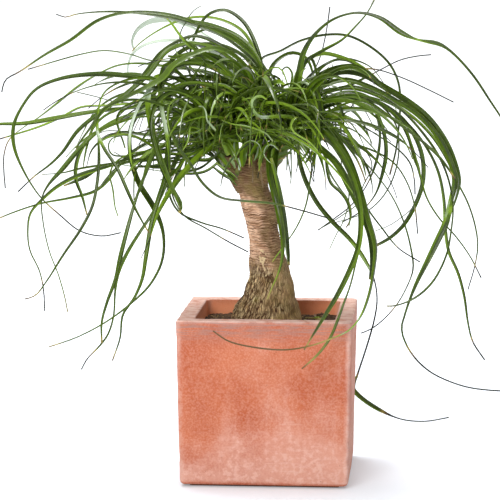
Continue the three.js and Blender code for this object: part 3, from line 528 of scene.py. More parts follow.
def pot_bloom(x, y, z):
    """How much pale bloom lies on the clay. On a face it follows the place along the face and the
    height: thick at the foot, two clouds above it, and thin in the top corners. The rim and the
    right-hand face carry more, and the inside hardly any."""
    turned = np.abs(x) > np.abs(y)
    along_face = np.where(turned, y * np.sign(x), -x * np.sign(y))
    spot = np.stack([x, y, z], -1)
    foot = 0.8 * (1 - fade(z, 15, 105)) + 0.25 * (1 - fade(z, 6, 30))
    middle = 0.24 * np.exp(-((along_face - 12) / 60) ** 2 - ((z - 92) / 50) ** 2)
    side = 0.28 * np.exp(-((along_face - 78) / 36) ** 2 - ((z - 82) / 70) ** 2)
    bloom = foot + middle + side + 0.13 * lumps(spot, 62, 31, 3) + 0.12
    bloom = bloom - 0.25 * np.exp(-((along_face + 100) / 30) ** 2)
    bloom = bloom + 0.62 * fade(x, POT_TOP / 2 - 8, POT_TOP / 2 - 4)
    inside = (np.maximum(np.abs(x), np.abs(y)) < inner_width(z) / 2 + 1.5) & (z < POT_HEIGHT - 1.5)
    bloom = np.where(inside, 0.15 + 0.25 * lumps(spot, 20, 34, 2), bloom * fade(z, 3, 12))
    return np.where(z > POT_HEIGHT - 1.5, bloom * 0.4 + 0.8 + 0.3 * lumps(spot, 26, 33, 2), bloom)


def pot_surface():
    """Points of the worn clay pot, and numbers for each: wear on edges, bloom, scuffs, painted shade
    on the recessed foot, and painted light that brightens the clay on the inner walls."""
    z, width, radius = pot_profile().T
    x, y = square_outline(width, radius)
    points = np.stack([x, y, np.broadcast_to(z[:, None], x.shape)], -1)
    height = points[..., 2]
    across = np.minimum(np.abs(points[..., 0]), np.abs(points[..., 1]))
    depth = np.abs(points[..., :2]).max(-1) - inner_width(height) / 2
    outside = fade(depth / WALL, 0.3, 1)
    corner = fade(across, width[:, None] / 2 - 9, width[:, None] / 2 - 3)
    rim = fade(height, POT_HEIGHT - 3.6, POT_HEIGHT - 1.2) * outside
    # Painted shade on the recessed foot under the pot.
    foot_shade = 1 - fade(height, FOOT_HEIGHT - 0.4, FOOT_HEIGHT + 1.2)
    flat = 0.9 * fade(height, POT_HEIGHT - 1.6, POT_HEIGHT - 0.6)
    worn = np.clip(np.maximum(0.3 * corner * fade(height, 4, 9), np.maximum(0.6 * rim, flat)), 0, 1)
    bloom = pot_bloom(points[..., 0], points[..., 1], height)
    scuffed = fade(height, POT_HEIGHT - 38, POT_HEIGHT - 8) * (0.25 + 0.75 * outside)
    scuffed *= 1 - 0.75 * fade(height, POT_HEIGHT - 2, POT_HEIGHT - 0.6)
    scuffed = np.maximum(scuffed, 0.4 * fade(points[..., 0], POT_TOP / 2 - 7, POT_TOP / 2 - 3))
    outward = points[..., :2] / np.linalg.norm(points[..., :2], axis=-1, keepdims=True)
    push = 0.45 * lumps(points, 80, 3, 2) + 0.15 * lumps(points, 9, 5, 2) - 0.3 + SWELL * outside
    push -= np.maximum(corner, rim) * 1.3 * np.clip(lumps(points, 13, 8, 3) + 0.1, 0, 1)
    push -= 0.6 * fade(lumps(points, 5, 12), 0.72, 0.9)
    standing = height > FOOT_HEIGHT
    points[..., :2] += outward * np.where(standing, push, 0)[..., None]
    top = points[..., 2] > POT_HEIGHT - 1.2
    dip = 0.1 + 0.25 * lumps(points, 45, 21) + 0.6 * np.clip(lumps(points, 8, 22, 2), 0, 1)
    points[..., 2] -= np.where(top, np.clip(dip, 0.05, 2), 0)
    # The last number paints light onto the inner walls, below the rim.
    return points, {"worn": worn, "bloom": bloom, "scuffed": scuffed, "foot_shade": foot_shade,
                    "painted_inner_light": (1 - outside) * (1 - fade(height, POT_HEIGHT - 4, POT_HEIGHT - 1))}


def drill_drains(piece):
    """Cuts the four drain holes with one Boolean, then applies it and removes the cutters."""
    cutter = bpy.data.meshes.new("drain_cutter")
    shape = bmesh.new()
    for sx, sy in ((-1, -1), (-1, 1), (1, -1), (1, 1)):
        spot = Matrix.Translation((sx * DRAIN_OFFSET * MM, sy * DRAIN_OFFSET * MM, 14 * MM))
        bmesh.ops.create_cone(shape, cap_ends=True, segments=28, radius1=DRAIN_RADIUS * MM,
                              radius2=DRAIN_RADIUS * MM, depth=60 * MM, matrix=spot)
    shape.to_mesh(cutter)
    shape.free()
    tool = new_object("drain_cutter", cutter)
    cut = piece.modifiers.new("drains", "BOOLEAN")
    cut.object = tool
    cut.solver = "EXACT"
    shown = piece.evaluated_get(bpy.context.evaluated_depsgraph_get())
    mesh = bpy.data.meshes.new_from_object(shown)
    piece.modifiers.clear()
    piece.data = mesh
    bpy.data.objects.remove(tool)
    bpy.data.meshes.remove(cutter)


pot_points, pot_marks = pot_surface()
pot = add_piece("clay_pot", pot_points.reshape(-1, 3), tube_faces(*pot_points.shape[:2]), TERRACOTTA,
                "terracotta", replaces=["pot"], **pot_marks)
drill_drains(pot)

# %% [markdown]
# ## The finish of potting mix
# Damp peat and bark are dark brown, each crumb in its own shade. The sheet and the crumbs carry a
# `tone` number, which the shader turns into a shade. The few highest tones are straw and dry leaf.

# %% Potting mix
PEAT, PALE_PEAT = (0.022, 0.013, 0.008), (0.12, 0.068, 0.036)
STRAW_BIT = (0.34, 0.24, 0.09)
MEAL = (0.15, 0.09, 0.05)


def potting_mix():
    """Crumbs from dark to mid brown, the palest of them straw, with a fine mealy grain."""
    material, tree, shader = new_material("potting mix", 0.2)
    tone = number(tree, "tone")
    meal = patches(tree, place(tree), 500.0, 0.3, 0.7, 3.0)
    brown = blend(tree, ramp(tree, tone, -1, 1), PEAT, PALE_PEAT)
    colour = coats(tree, brown, (ramp(tree, tone, 0.86, 0.97), 1, STRAW_BIT), (meal, 0.35, MEAL))
    feed(tree, shader, colour, ramp(tree, meal, 0, 1, 0.85, 1.0), meal, 0.8, 0.001)
    return material


POTTING_MIX = potting_mix()
print("made", POTTING_MIX.name)

# %% [markdown]
# ## Potting mix
# The mix lies 20 mm below the rim and is heaped a little against the trunk. A square sheet of points
# gives its surface, with low sides that go down beside the clay. Loose crumbs lie on it. Each crumb
# is one small squashed ball with its own size, turn and tone, half sunk into the surface.

# %% Soil
SOIL_GAP = 1.2
SOIL_CORNER = 9.0
SOIL_POINTS = 150
TALLEST_CRUMB = 218.0


def soil_height(x, y):
    """Broad lumps plus a low heap round the trunk, as in the solids."""
    broad = np.sin(x / 11 + 1) * np.cos(y / 13) + 0.7 * np.sin(x / 5 + y / 7)
    heap = 3.5 * np.exp(-((x - TRUNK_X) ** 2 + y * y) / 5200)
    return SOIL_TOP - 1.5 + broad + heap


def fine_soil_height(x, y):
    """The solids' surface with finer crumbly noise, kept just below the highest solid point."""
    flat = np.stack([x, y], -1)
    rough = 0.9 * lumps(flat, 9, 41, 3) + 0.35 * lumps(flat, 2.6, 44, 2)
    return soil_height(x, y) + rough - 0.7


def make_soil():
    """A closed block: the crumbly top, sides just inside the clay and a flat bottom. The square top
    has round corners: what lies beyond a corner's circle is pulled in to it."""
    n, r = SOIL_POINTS, SOIL_CORNER
    half = inner_width(SOIL_TOP) / 2 - SOIL_GAP
    line = np.linspace(-1, 1, n)
    x, y = np.meshgrid(line * half, line * half, indexing="ij")
    over_x, over_y = (np.clip(np.abs(v) - half + r, 0, r) for v in (x, y))
    over = np.hypot(over_x, over_y)
    pull = np.where(over > r, r / np.maximum(over, 1e-6), 1)
    x = np.sign(x) * (np.minimum(np.abs(x), half - r) + over_x * pull)
    y = np.sign(y) * (np.minimum(np.abs(y), half - r) + over_y * pull)
    top = np.stack([x, y, fine_soil_height(x, y)], -1).reshape(-1, 3)
    i, j = np.meshgrid(np.arange(n - 1), np.arange(n - 1), indexing="ij")
    a = i * n + j
    faces = np.stack([a, a + n, a + n + 1, a + 1], -1).reshape(-1, 4).tolist()
    edge = np.concatenate([np.arange(n - 1) * n, (n - 1) * n + np.arange(n - 1),
                           np.arange(n - 1, 0, -1) * n + n - 1, np.arange(n - 1, 0, -1)])
    low = top[edge].copy()
    low[:, :2] *= (inner_width(FLOOR_TOP + 1) / 2 - SOIL_GAP) / half
    low[:, 2] = FLOOR_TOP + GAP
    below = len(top) + np.arange(len(edge))
    faces += np.stack([edge, below, np.roll(below, -1), np.roll(edge, -1)], -1).tolist()
    faces.append(below[::-1].tolist())
    points = np.concatenate([top, low])
    return add_piece("potting_mix", points, faces, POTTING_MIX, "soil", replaces=["soil"],
                     tone=0.6 * lumps(points, 4, 47, 2))


def ball(rows=5, around=7):
    """Points and faces of a small closed ball."""
    tilt = np.linspace(0, np.pi, rows + 2)[1:-1]
    turn = np.arange(around) / around * 2 * np.pi
    ring = np.stack(np.broadcast_arrays(np.sin(tilt)[:, None] * np.cos(turn),
                                        np.sin(tilt)[:, None] * np.sin(turn),
                                        -np.cos(tilt)[:, None]), -1).reshape(-1, 3)
    return ring, tube_faces(rows, around)


def scatter(shape, faces, centres, sizes, turns, tones):
    """Copies of one small shape: each stretched by its sizes, turned about Z and put in place."""
    c, s = np.cos(turns)[:, None], np.sin(turns)[:, None]
    p = shape[None] * sizes[:, None, :]
    x = p[..., 0] * c - p[..., 1] * s
    y = p[..., 0] * s + p[..., 1] * c
    points = np.stack([x, y, p[..., 2]], -1) + centres[:, None]
    all_faces = []
    for k in range(len(centres)):
        all_faces += [[n + k * len(shape) for n in face] for face in faces]
    return points.reshape(-1, 3), all_faces, np.repeat(tones, len(shape))


def make_crumbs():
    """Crumbs of bark and peat strewn over the mix, none of them inside the trunk or the clay."""
    rng = np.random.default_rng(5)
    half = inner_width(SOIL_TOP) / 2 - 5
    spots = rng.uniform(-half, half, (2600, 2))
    spots = spots[np.hypot(spots[:, 0] - TRUNK_X, spots[:, 1]) > 53]
    size = rng.gamma(2.0, 0.55, (len(spots), 1)) + 0.5
    sizes = size * rng.uniform(0.6, 1.5, (len(spots), 3)) * [1.2, 1.0, 0.6]
    sizes = np.minimum(sizes, [4.5, 3.5, 2.0])
    z = fine_soil_height(spots[:, 0], spots[:, 1]) + sizes[:, 2] * 0.1
    shape, faces = ball()
    shape = shape * (1 + 0.25 * lumps(shape, 0.7, 9))[:, None]
    points, faces, tone = scatter(shape, faces, np.column_stack([spots, z]), sizes,
                                  rng.uniform(0, 6.3, len(spots)), rng.uniform(-1, 1, len(spots)))
    points[:, 2] = np.minimum(points[:, 2], TALLEST_CRUMB)
    return add_piece("soil_crumbs", points, faces, POTTING_MIX, "soil", tone=tone)


make_soil()
make_crumbs()

# %% [markdown]
# ## The finish of the bark
# The bark's colour follows its relief, so the trunk carries the relief's masks as numbers on its
# points: a mask in the fissures and rings that also paints shade under the leaves and in the peeled
# hollow, `rugged` where the cork is roughest and palest, `young` towards the top, `shaded`, which
# paints shade on the right-hand side and under the leaves, `flake` where a scrap peels, a mask of
# olive moss that also paints shade on the right-hand side and under the leaves, and `cut` on the
# sawn stub. The shader gives each its colour, and adds fibres, rings and grain that are finer than
# the mesh. It reads them on a drum of fixed radius, whose place is stored as `drum_x` and `drum_y`,
# so that the fibres fan out where the foot flares.

# %% Bark
CORK, PALE_CORK = (0.25, 0.15, 0.065), (0.58, 0.385, 0.18)
STRAW, PALE_STRAW = (0.72, 0.46, 0.21), (1.0, 0.80, 0.46)
FIBRE_GAP = (0.045, 0.018, 0.008)
SKIN, PALE_SKIN = (0.50, 0.27, 0.15), (0.86, 0.575, 0.40)
# Painted shade: the right-hand side of the stem and its top under the leaves.
SHADED_SKIN, PALE_SHADED = (0.11, 0.06, 0.03), (0.30, 0.18, 0.09)
RING = (0.16, 0.075, 0.035)
# Olive moss; the same colour also paints shade on the right-hand side and under the leaves.
MOSS_AND_SHADE = (0.235, 0.205, 0.045)
# Dark fissures and rings; the same colour also paints shade under the leaves and in the peeled hollow.
CRACK_AND_SHADE = (0.08, 0.034, 0.014)
FLAKE = (0.66, 0.50, 0.29)
SAWN = (0.66, 0.44, 0.31)


def on_drum(tree):
    """The point's place on the drum, in metres, swayed a little by noise."""
    height = node(tree, "ShaderNodeSeparateXYZ", {"Vector": place(tree)}).outputs["Z"]
    drum = node(tree, "ShaderNodeCombineXYZ", {"X": number(tree, "drum_x"), "Y": number(tree, "drum_y"),
                                               "Z": height}).outputs[0]
    sway = node(tree, "ShaderNodeTexNoise", {"Vector": drum, "Scale": 70.0, "Detail": 2.0}).outputs["Color"]
    sway = node(tree, "ShaderNodeVectorMath", {0: sway, 1: (0.5, 0.5, 0.5)},
                operation="SUBTRACT").outputs[0]
    return node(tree, "ShaderNodeVectorMath", {0: sway, 1: (0.007, 0.007, 0.007), 2: drum},
                operation="MULTIPLY_ADD").outputs[0]


def fibre_gaps(tree, drum, stretch):
    """A mask of the dark gaps between upright fibres: thin where two cells of a stretched cell
    pattern meet."""
    spot = node(tree, "ShaderNodeMapping", {"Vector": drum, "Scale": stretch}).outputs[0]
    edge = node(tree, "ShaderNodeTexVoronoi", {"Vector": spot, "Scale": 1.0},
                feature="DISTANCE_TO_EDGE").outputs["Distance"]
    return ramp(tree, edge, 0.02, 0.17, 1, 0)


def corky_bark():
    """Straw and brown cork with dark fissures, paler ringed bark above, an olive tint and flakes, and
    painted shade on the right-hand side and under the leaves.
    """
    material, tree, shader = new_material("corky bark", 0.2)
    spot = place(tree)
    level = place(tree, (1, 1, 5))
    drum = on_drum(tree)
    rugged, young = number(tree, "rugged"), number(tree, "young")
    mottle = patches(tree, spot, 75.0, 0.3, 0.7, 7.0)
    gaps = maths(tree, "MAXIMUM", fibre_gaps(tree, drum, (290, 290, 40)),
                 times(tree, fibre_gaps(tree, drum, (480, 480, 90)), 0.6))
    gaps = times(tree, gaps, ramp(tree, rugged, 0.1, 0.8, 0.5, 1.0))
    old = blend(tree, rugged, blend(tree, mottle, CORK, PALE_CORK),
                blend(tree, mottle, STRAW, PALE_STRAW))
    old = blend(tree, gaps, old, FIBRE_GAP)
    bands = patches(tree, level, 60.0, 0.32, 0.68, 7.0)
    wave = node(tree, "ShaderNodeTexWave", {"Vector": drum, "Scale": 84.0, "Distortion": 2.6, "Detail": 3.0,
                                            "Detail Scale": 0.6}, bands_direction="Z").outputs["Fac"]
    rings = times(tree, ramp(tree, wave, 0.04, 0.42, 1, 0), patches(tree, level, 34.0, 0.38, 0.6, 4.0))
    shade = blend(tree, bands, SHADED_SKIN, PALE_SHADED)
    new = coats(tree, blend(tree, bands, SKIN, PALE_SKIN), (number(tree, "shaded"), 0.85, shade),
                (rings, 0.95, RING))
    moss_and_shade = times(tree, number(tree, "moss_and_shade"), patches(tree, spot, 70.0, 0.35, 0.6, 5.0))
    colour = coats(tree, blend(tree, young, old, new), (moss_and_shade, 0.6, MOSS_AND_SHADE),
                   (number(tree, "crack_and_shade"), 0.6, CRACK_AND_SHADE), (number(tree, "flake"), 1, FLAKE),
                   (number(tree, "cut"), 1, SAWN))
    grooves = maths(tree, "ADD", times(tree, gaps, maths(tree, "SUBTRACT", 1.0, young)),
                    times(tree, rings, young))
    height = maths(tree, "SUBTRACT", times(tree, mottle, 0.4), grooves)
    feed(tree, shader, colour, ramp(tree, mottle, 0, 1, 0.75, 0.95), height, 0.9, 0.0011)
    return material


BARK = corky_bark()
print("made", BARK.name)

# %% [markdown]
# ## The trunk
# A ponytail palm stores water in its swollen foot. Its bark is cork there, broken into plates by
# cracks. Higher up the bark is younger: thin and pale, with fine rings where leaves once grew. The
# trunk is a grid of angle and height. Its radius is the measured outline, plus cell noise for the
# cork plates low down and ridged bands for the rings higher up. Three short arms carry the heads.

# %% Trunk outline and relief
# Height, sideways centre and diameter, from the buried foot to where the trunk forks.
TRUNK = np.array([
    [TRUNK_FOOT, TRUNK_X, 96], [200, TRUNK_X, 106], [COLLAR, -4.4, 100], [231, -4, 91],
    [249.6, -0.9, 76], [268, 1, 67], [286, 1.8, 58], [304, -1, 53], [322, -5, 47],
    [340.6, -8.5, 44], [358.7, -11.3, 46], [377, -14.9, 48], [395, -19.4, 46], [408, -23.5, 46],
    [424, -27, 50], [440, -28, 44], [450, -26, 30],
])
# The three arms: start, end and the radius at each.
ARMS = {
    "left": ((-30, 0, 408), (-56, -6, 452), 19, 13.5),
    "centre": ((-24, 4, 418), (-18, 16, 466), 19, 13),
    "right": ((-18, -2, 418), (12, -10, 462), 17, 12.5),
}
# The sawn stub beside the right arm, in the same way.
STUB = ((-6, -10, 430), (7, -19, 446), 9, 7.5)
# The noise is read on a drum of this radius. Plates and fibres of cork are this large on it.
DRUM = 34.0
PLATE = [2.9, 2.9, 16]
FIBRE = [1.7, 1.7, 8]
RING_HEIGHT = 3.3
# Where cork gives way to young bark, where scraps peel, and where the leaves shade the stem.
YOUNG_FROM, YOUNG_TO = 280, 320
PEELS_FROM, PEELS_TO = 262, 330
SHADE_FROM, SHADE_TO = 388, 406
# Angles round the stem: the front is at 1.5 pi and the right-hand side at 0 or 2 pi.
RUGGED_SIDE = 1.15 * np.pi
SHADED_SIDE = 1.95 * np.pi
TOP_SHADED_SIDE = 1.85 * np.pi
# Angle and height of the peeled patch and of a green spot.
PEELED = (1.455 * np.pi, 304)
GREEN_SPOT = (1.362 * np.pi, 254)


def along(rows, at, column):
    """A smooth curve through rows of (position, value, value): a Catmull-Rom spline."""
    at = np.asarray(at, float)
    k = np.clip(np.searchsorted(rows[:, 0], at, side="left") - 1, 0, len(rows) - 2)
    t = np.clip((at - rows[k, 0]) / (rows[k + 1, 0] - rows[k, 0]), 0, 1)
    p0, p1 = rows[np.maximum(k - 1, 0), column], rows[k, column]
    p2, p3 = rows[k + 1, column], rows[np.minimum(k + 2, len(rows) - 1), column]
    return 0.5 * (2 * p1 + (p2 - p0) * t + (2 * p0 - 5 * p1 + 4 * p2 - p3) * t * t
                  + (3 * p1 - p0 - 3 * p2 + p3) * t ** 3)


def bark(height, turn):
    """Relief in mm, and masks from 0 to 1, at a height and an angle round the stem. All noise is read
    on a drum of fixed radius, so that the fissures fan out where the foot flares.
    Cork: long narrow ridges with fissures between them, deepest on the rugged side, at the left.
    Young bark: wrinkles round the stem, each a narrow notch that wavers, fades and comes back."""
    drum = np.stack(np.broadcast_arrays(DRUM * np.cos(turn), DRUM * np.sin(turn), height), -1)
    young = fade(height + 12 * lumps(drum, 20, 61), YOUNG_FROM, YOUNG_TO)
    rugged = np.clip(0.5 + 0.55 * np.cos(turn - RUGGED_SIDE) + 0.5 * lumps(drum, 15, 79), 0.12, 1)
    warped = drum + 1.5 * np.stack([lumps(drum, 7, seed) for seed in (62, 63, 64)], -1)
    fissure = (1 - fade(cell_border(warped / PLATE, 65), 0.04, 0.42)) * rugged
    fine = (1 - fade(cell_border(warped / FIBRE, 66), 0.0, 0.4)) * (0.4 + 0.6 * rugged)
    cork = 1.3 * lumps(drum, 16, 67, 2) - 1.5 * fissure - 0.55 * fine
    wave = height + 2.8 * lumps(drum, 22, 68) + 1.3 * lumps(drum, 8, 69) + 0.5 * lumps(drum, 3, 78)
    band = wave / RING_HEIGHT + 0.6 * lumps(drum * [0.15, 0.15, 1], 7, 70)
    notch = np.exp(-((band - np.floor(band) - 0.5) / 0.27) ** 2)
    notch = notch * (0.25 + 0.75 * fade(lumps(drum, 6, 71), -0.3, 0.35))
    rings = 0.9 * lumps(drum, 12, 72, 2) + 0.45 * lumps(drum, 4.5, 74) - 1.35 * notch - 0.25 * fine
    beside = np.hypot(30 * (turn - PEELED[0]) / 7.5, (height - PEELED[1]) / 16)
    peeled = 1 - fade(beside + 0.5 * lumps(drum, 6, 76, 2), 0.9, 1.05)
    scraps = fade(lumps(drum * [1, 1, 0.8], 4.5, 83, 2), 0.0, 0.1)
    flake = np.maximum(peeled * scraps, fade(lumps(drum, 7, 75, 2), 1.05, 1.12))
    flake = flake * fade(height, PEELS_FROM, PEELS_FROM + 8) * (1 - fade(height, PEELS_TO - 8, PEELS_TO))
    # Painted shade: darker on the right-hand side, and on top of the stem under the leaves.
    shaded = np.clip(fade(np.cos(turn - SHADED_SIDE) + 0.35 * lumps(drum, 17, 80, 2), -0.1, 0.6), 0, 1)
    under_leaves = height + 6 * lumps(drum, 9, 81) + 12 * np.cos(turn - TOP_SHADED_SIDE)
    top = fade(under_leaves, SHADE_FROM, SHADE_TO)
    spot = np.exp(-((turn - GREEN_SPOT[0]) / 0.12) ** 2 - ((height - GREEN_SPOT[1]) / 8) ** 2)
    # Moss follows the painted shade, so it paints shade as well as olive patches and the green spot.
    moss_and_shade = np.clip(0.5 * shaded + 0.4 * lumps(drum, 20, 77, 2), 0, 1) * (0.7 - 0.2 * young)
    moss_and_shade = moss_and_shade + 1.2 * spot + 0.6 * top
    relief = cork * (1 - young) + rings * young + 0.8 * flake - 0.8 * peeled * (1 - scraps)
    crack_and_shade = np.maximum(fissure, 0.6 * fine) * (1 - young) + (0.95 * notch + 0.15 * fine) * young
    # The crack mask also paints shade under the leaves and in the peeled hollow.
    crack_and_shade = np.maximum(crack_and_shade, top * (0.8 + 0.35 * lumps(drum, 10, 82, 2)))
    crack_and_shade = np.maximum(crack_and_shade, 0.9 * peeled * (1 - scraps))
    return relief, {"crack_and_shade": np.clip(crack_and_shade, 0, 1) * (1 - 0.7 * flake), "young": young, "flake": flake,
                    "moss_and_shade": np.clip(moss_and_shade, 0, 1), "rugged": rugged, "shaded": np.maximum(shaded, top),
                    "drum_x": drum[..., 0] * MM, "drum_y": drum[..., 1] * MM}


def grown_limb(start, end, r0, r1, rows, around, seed=0):
    """A tapering limb along a straight axis: circles round the axis, with bark on them."""
    start, end = np.array(start, float), np.array(end, float)
    side, front = square_to(unit(end - start))
    t = np.linspace(0, 1, rows)[:, None]
    a = np.arange(around) / around * 2 * np.pi
    radius = r0 + (r1 - r0) * t + np.sin(np.pi * t)
    out = side * np.cos(a)[:, None] + front * np.sin(a)[:, None]
    middle = start + (end - start) * t
    relief, masks = bark(middle[:, 2:] + 40 + 7 * seed, a)
    ragged = 0.9 * lumps(np.stack(np.broadcast_arrays(9 * a + seed, 3 * t), -1), 1.0, 73, 2)
    skin = middle[:, None] + (radius + 0.8 * relief - 0.6 + ragged * t)[..., None] * out
    return skin, masks


def main_stem(rows, around):
    """The stem: circles on the outline's curve, with low lobes near the foot, and bark on them."""
    z = np.concatenate([[TRUNK_FOOT + 20], np.linspace(COLLAR - 9, TRUNK[-1, 0], rows - 1)])[:, None]
    a = np.arange(around) / around * 2 * np.pi
    shown = fade(z, COLLAR - 4, COLLAR + 10)
    lobes = 1.3 * np.sin(3 * a + z / 17) + np.sin(5 * a - z / 9 + 1)
    lobes = shown * lobes * (0.35 + 0.65 * (1 - fade(z, 290, 350)))
    relief, masks = bark(z, a)
    spread = 4.5 * np.clip(-np.cos(a + 0.3), 0, 1) * (1 - fade(z, COLLAR, 275)) * shown
    radius = along(TRUNK, z, 2) / 2 + lobes + spread + relief * (0.3 + 0.7 * shown)
    x = along(TRUNK, z, 1) + radius * np.cos(a)
    return np.stack(np.broadcast_arrays(x, radius * np.sin(a), z), -1), masks


def make_trunk():
    """The stem, its three arms and a short sawn stub, joined in one mesh. Each limb is a closed tube
    that starts inside the stem."""
    limbs = [main_stem(300, 250)]
    limbs += [grown_limb(*arm, 60, 90, seed=number) for number, arm in enumerate(ARMS.values())]
    limbs.append(grown_limb(*STUB, 24, 48, seed=9))
    for skin, masks in limbs:
        masks["cut"] = np.zeros((len(skin), 1))
    limbs[-1][1]["cut"][-1] = 1
    add_tubes("palm_trunk", limbs, BARK, "bark", replaces=["trunk"])


make_trunk()

# %% [markdown]
# ## The finish of a strap leaf
# A leaf is smooth and a little waxy. Its green runs from very dark to yellowish from one leaf to the
# next, so each blade carries a `tone`. The tone also holds painted shade, one half of a blade darker
# than the other, and from 1.2 up it paints a whitish sheen where a blade catches the light. Numbers
# along and across the blade place the rest: parallel veins, pale edges, a pale foot where no light
# reaches, and a `dry` tip that turns straw and brown.

# %% Leaf
DARK_GREEN, MID_GREEN, LIGHT_GREEN = (0.012, 0.026, 0.001), (0.056, 0.108, 0.003), (0.20, 0.33, 0.012)
CLOUDED_GREEN = (0.125, 0.205, 0.005)
VEIN = (0.16, 0.23, 0.03)
LEAF_EDGE = (0.28, 0.36, 0.10)
# Painted sheen: a whitish glint where a blade catches the light, at the highest tones.
SHEEN = (0.52, 0.60, 0.50)
LEAF_FOOT = (0.30, 0.34, 0.05)
DRY_STRAW, DRY_BROWN = (0.33, 0.27, 0.065), (0.14, 0.09, 0.04)
DARK_HAIR = (0.014, 0.020, 0.009)


def strap_leaf():
    """Green by the blade's tone, which also holds painted shade and a painted sheen, with veins, pale
    edges and foot, a dry tip and a waxy gloss.
    """
    material, tree, shader = new_material("strap leaf", 0.1)
    tone, length, across = number(tree, "tone"), number(tree, "along"), number(tree, "across")
    mottle = patches(tree, place(tree), 50.0, 0.35, 0.7, 4.0)
    lines = node(tree, "ShaderNodeCombineXYZ", {"X": across, "Y": times(tree, length, 0.3)}).outputs[0]
    vein = node(tree, "ShaderNodeTexWave", {"Vector": lines, "Scale": 1.3, "Distortion": 0.8},
                bands_direction="X").outputs["Fac"]
    edge = ramp(tree, maths(tree, "ABSOLUTE", across), 0.75, 1)
    green = blend(tree, ramp(tree, tone, -1.0, 0.2), DARK_GREEN, MID_GREEN)
    # A tone above 1.2 paints the sheen.
    green = coats(tree, green, (ramp(tree, tone, 0.0, 1.1), 1, LIGHT_GREEN),
                  (mottle, 0.3, CLOUDED_GREEN), (vein, 0.12, VEIN), (edge, 0.22, LEAF_EDGE),
                  (ramp(tree, tone, 1.2, 2.0), 1, SHEEN),
                  (ramp(tree, length, 0.0, 0.10, 0.5, 0), 1, LEAF_FOOT))
    dry = number(tree, "dry")
    straw = blend(tree, ramp(tree, dry, 0.45, 1), DRY_STRAW, DRY_BROWN)
    straw = blend(tree, ramp(tree, dry, 1, 1.35), straw, DARK_HAIR)
    colour = blend(tree, ramp(tree, dry, 0.05, 0.5), green, straw)
    feed(tree, shader, colour, ramp(tree, dry, 0, 1, 0.4, 0.8), vein, 0.4, 0.0003)
    shader.inputs["Coat Weight"].default_value = 0.42
    shader.inputs["Coat Roughness"].default_value = 0.2
    return material


LEAF = strap_leaf()
print("made", LEAF.name)

# %% [markdown]
# ## How the leaves lie
# Each head is a short core of packed leaf bases, set on the end of its arm, with leaves growing out
# all round. There are two kinds of route for a leaf. Some follow a line traced in the front view,
# and are carried back or forward along the line of sight to a depth of their own. The others grow by
# a rule: they set off at a heading and a climb, and bow down more and more. Both kinds are the routes
# of the solids, drawn here again with the same numbers and the same seeds.

# %% Tables


def read_part(part):
    """A part of a table's row: pairs of numbers with commas between them, which become two arrays,
    a name of two words, or one number."""
    if "," in part:
        return np.array([pair.split() for pair in part.split(",")], float).T
    return part if " " in part else float(part)


def read_table(text):
    """The rows of a table. Each starts with a star on a new line, and bars stand between its parts."""
    return [[read_part(part.strip()) for part in row.split("|")] for row in text.split("\n*")[1:]]


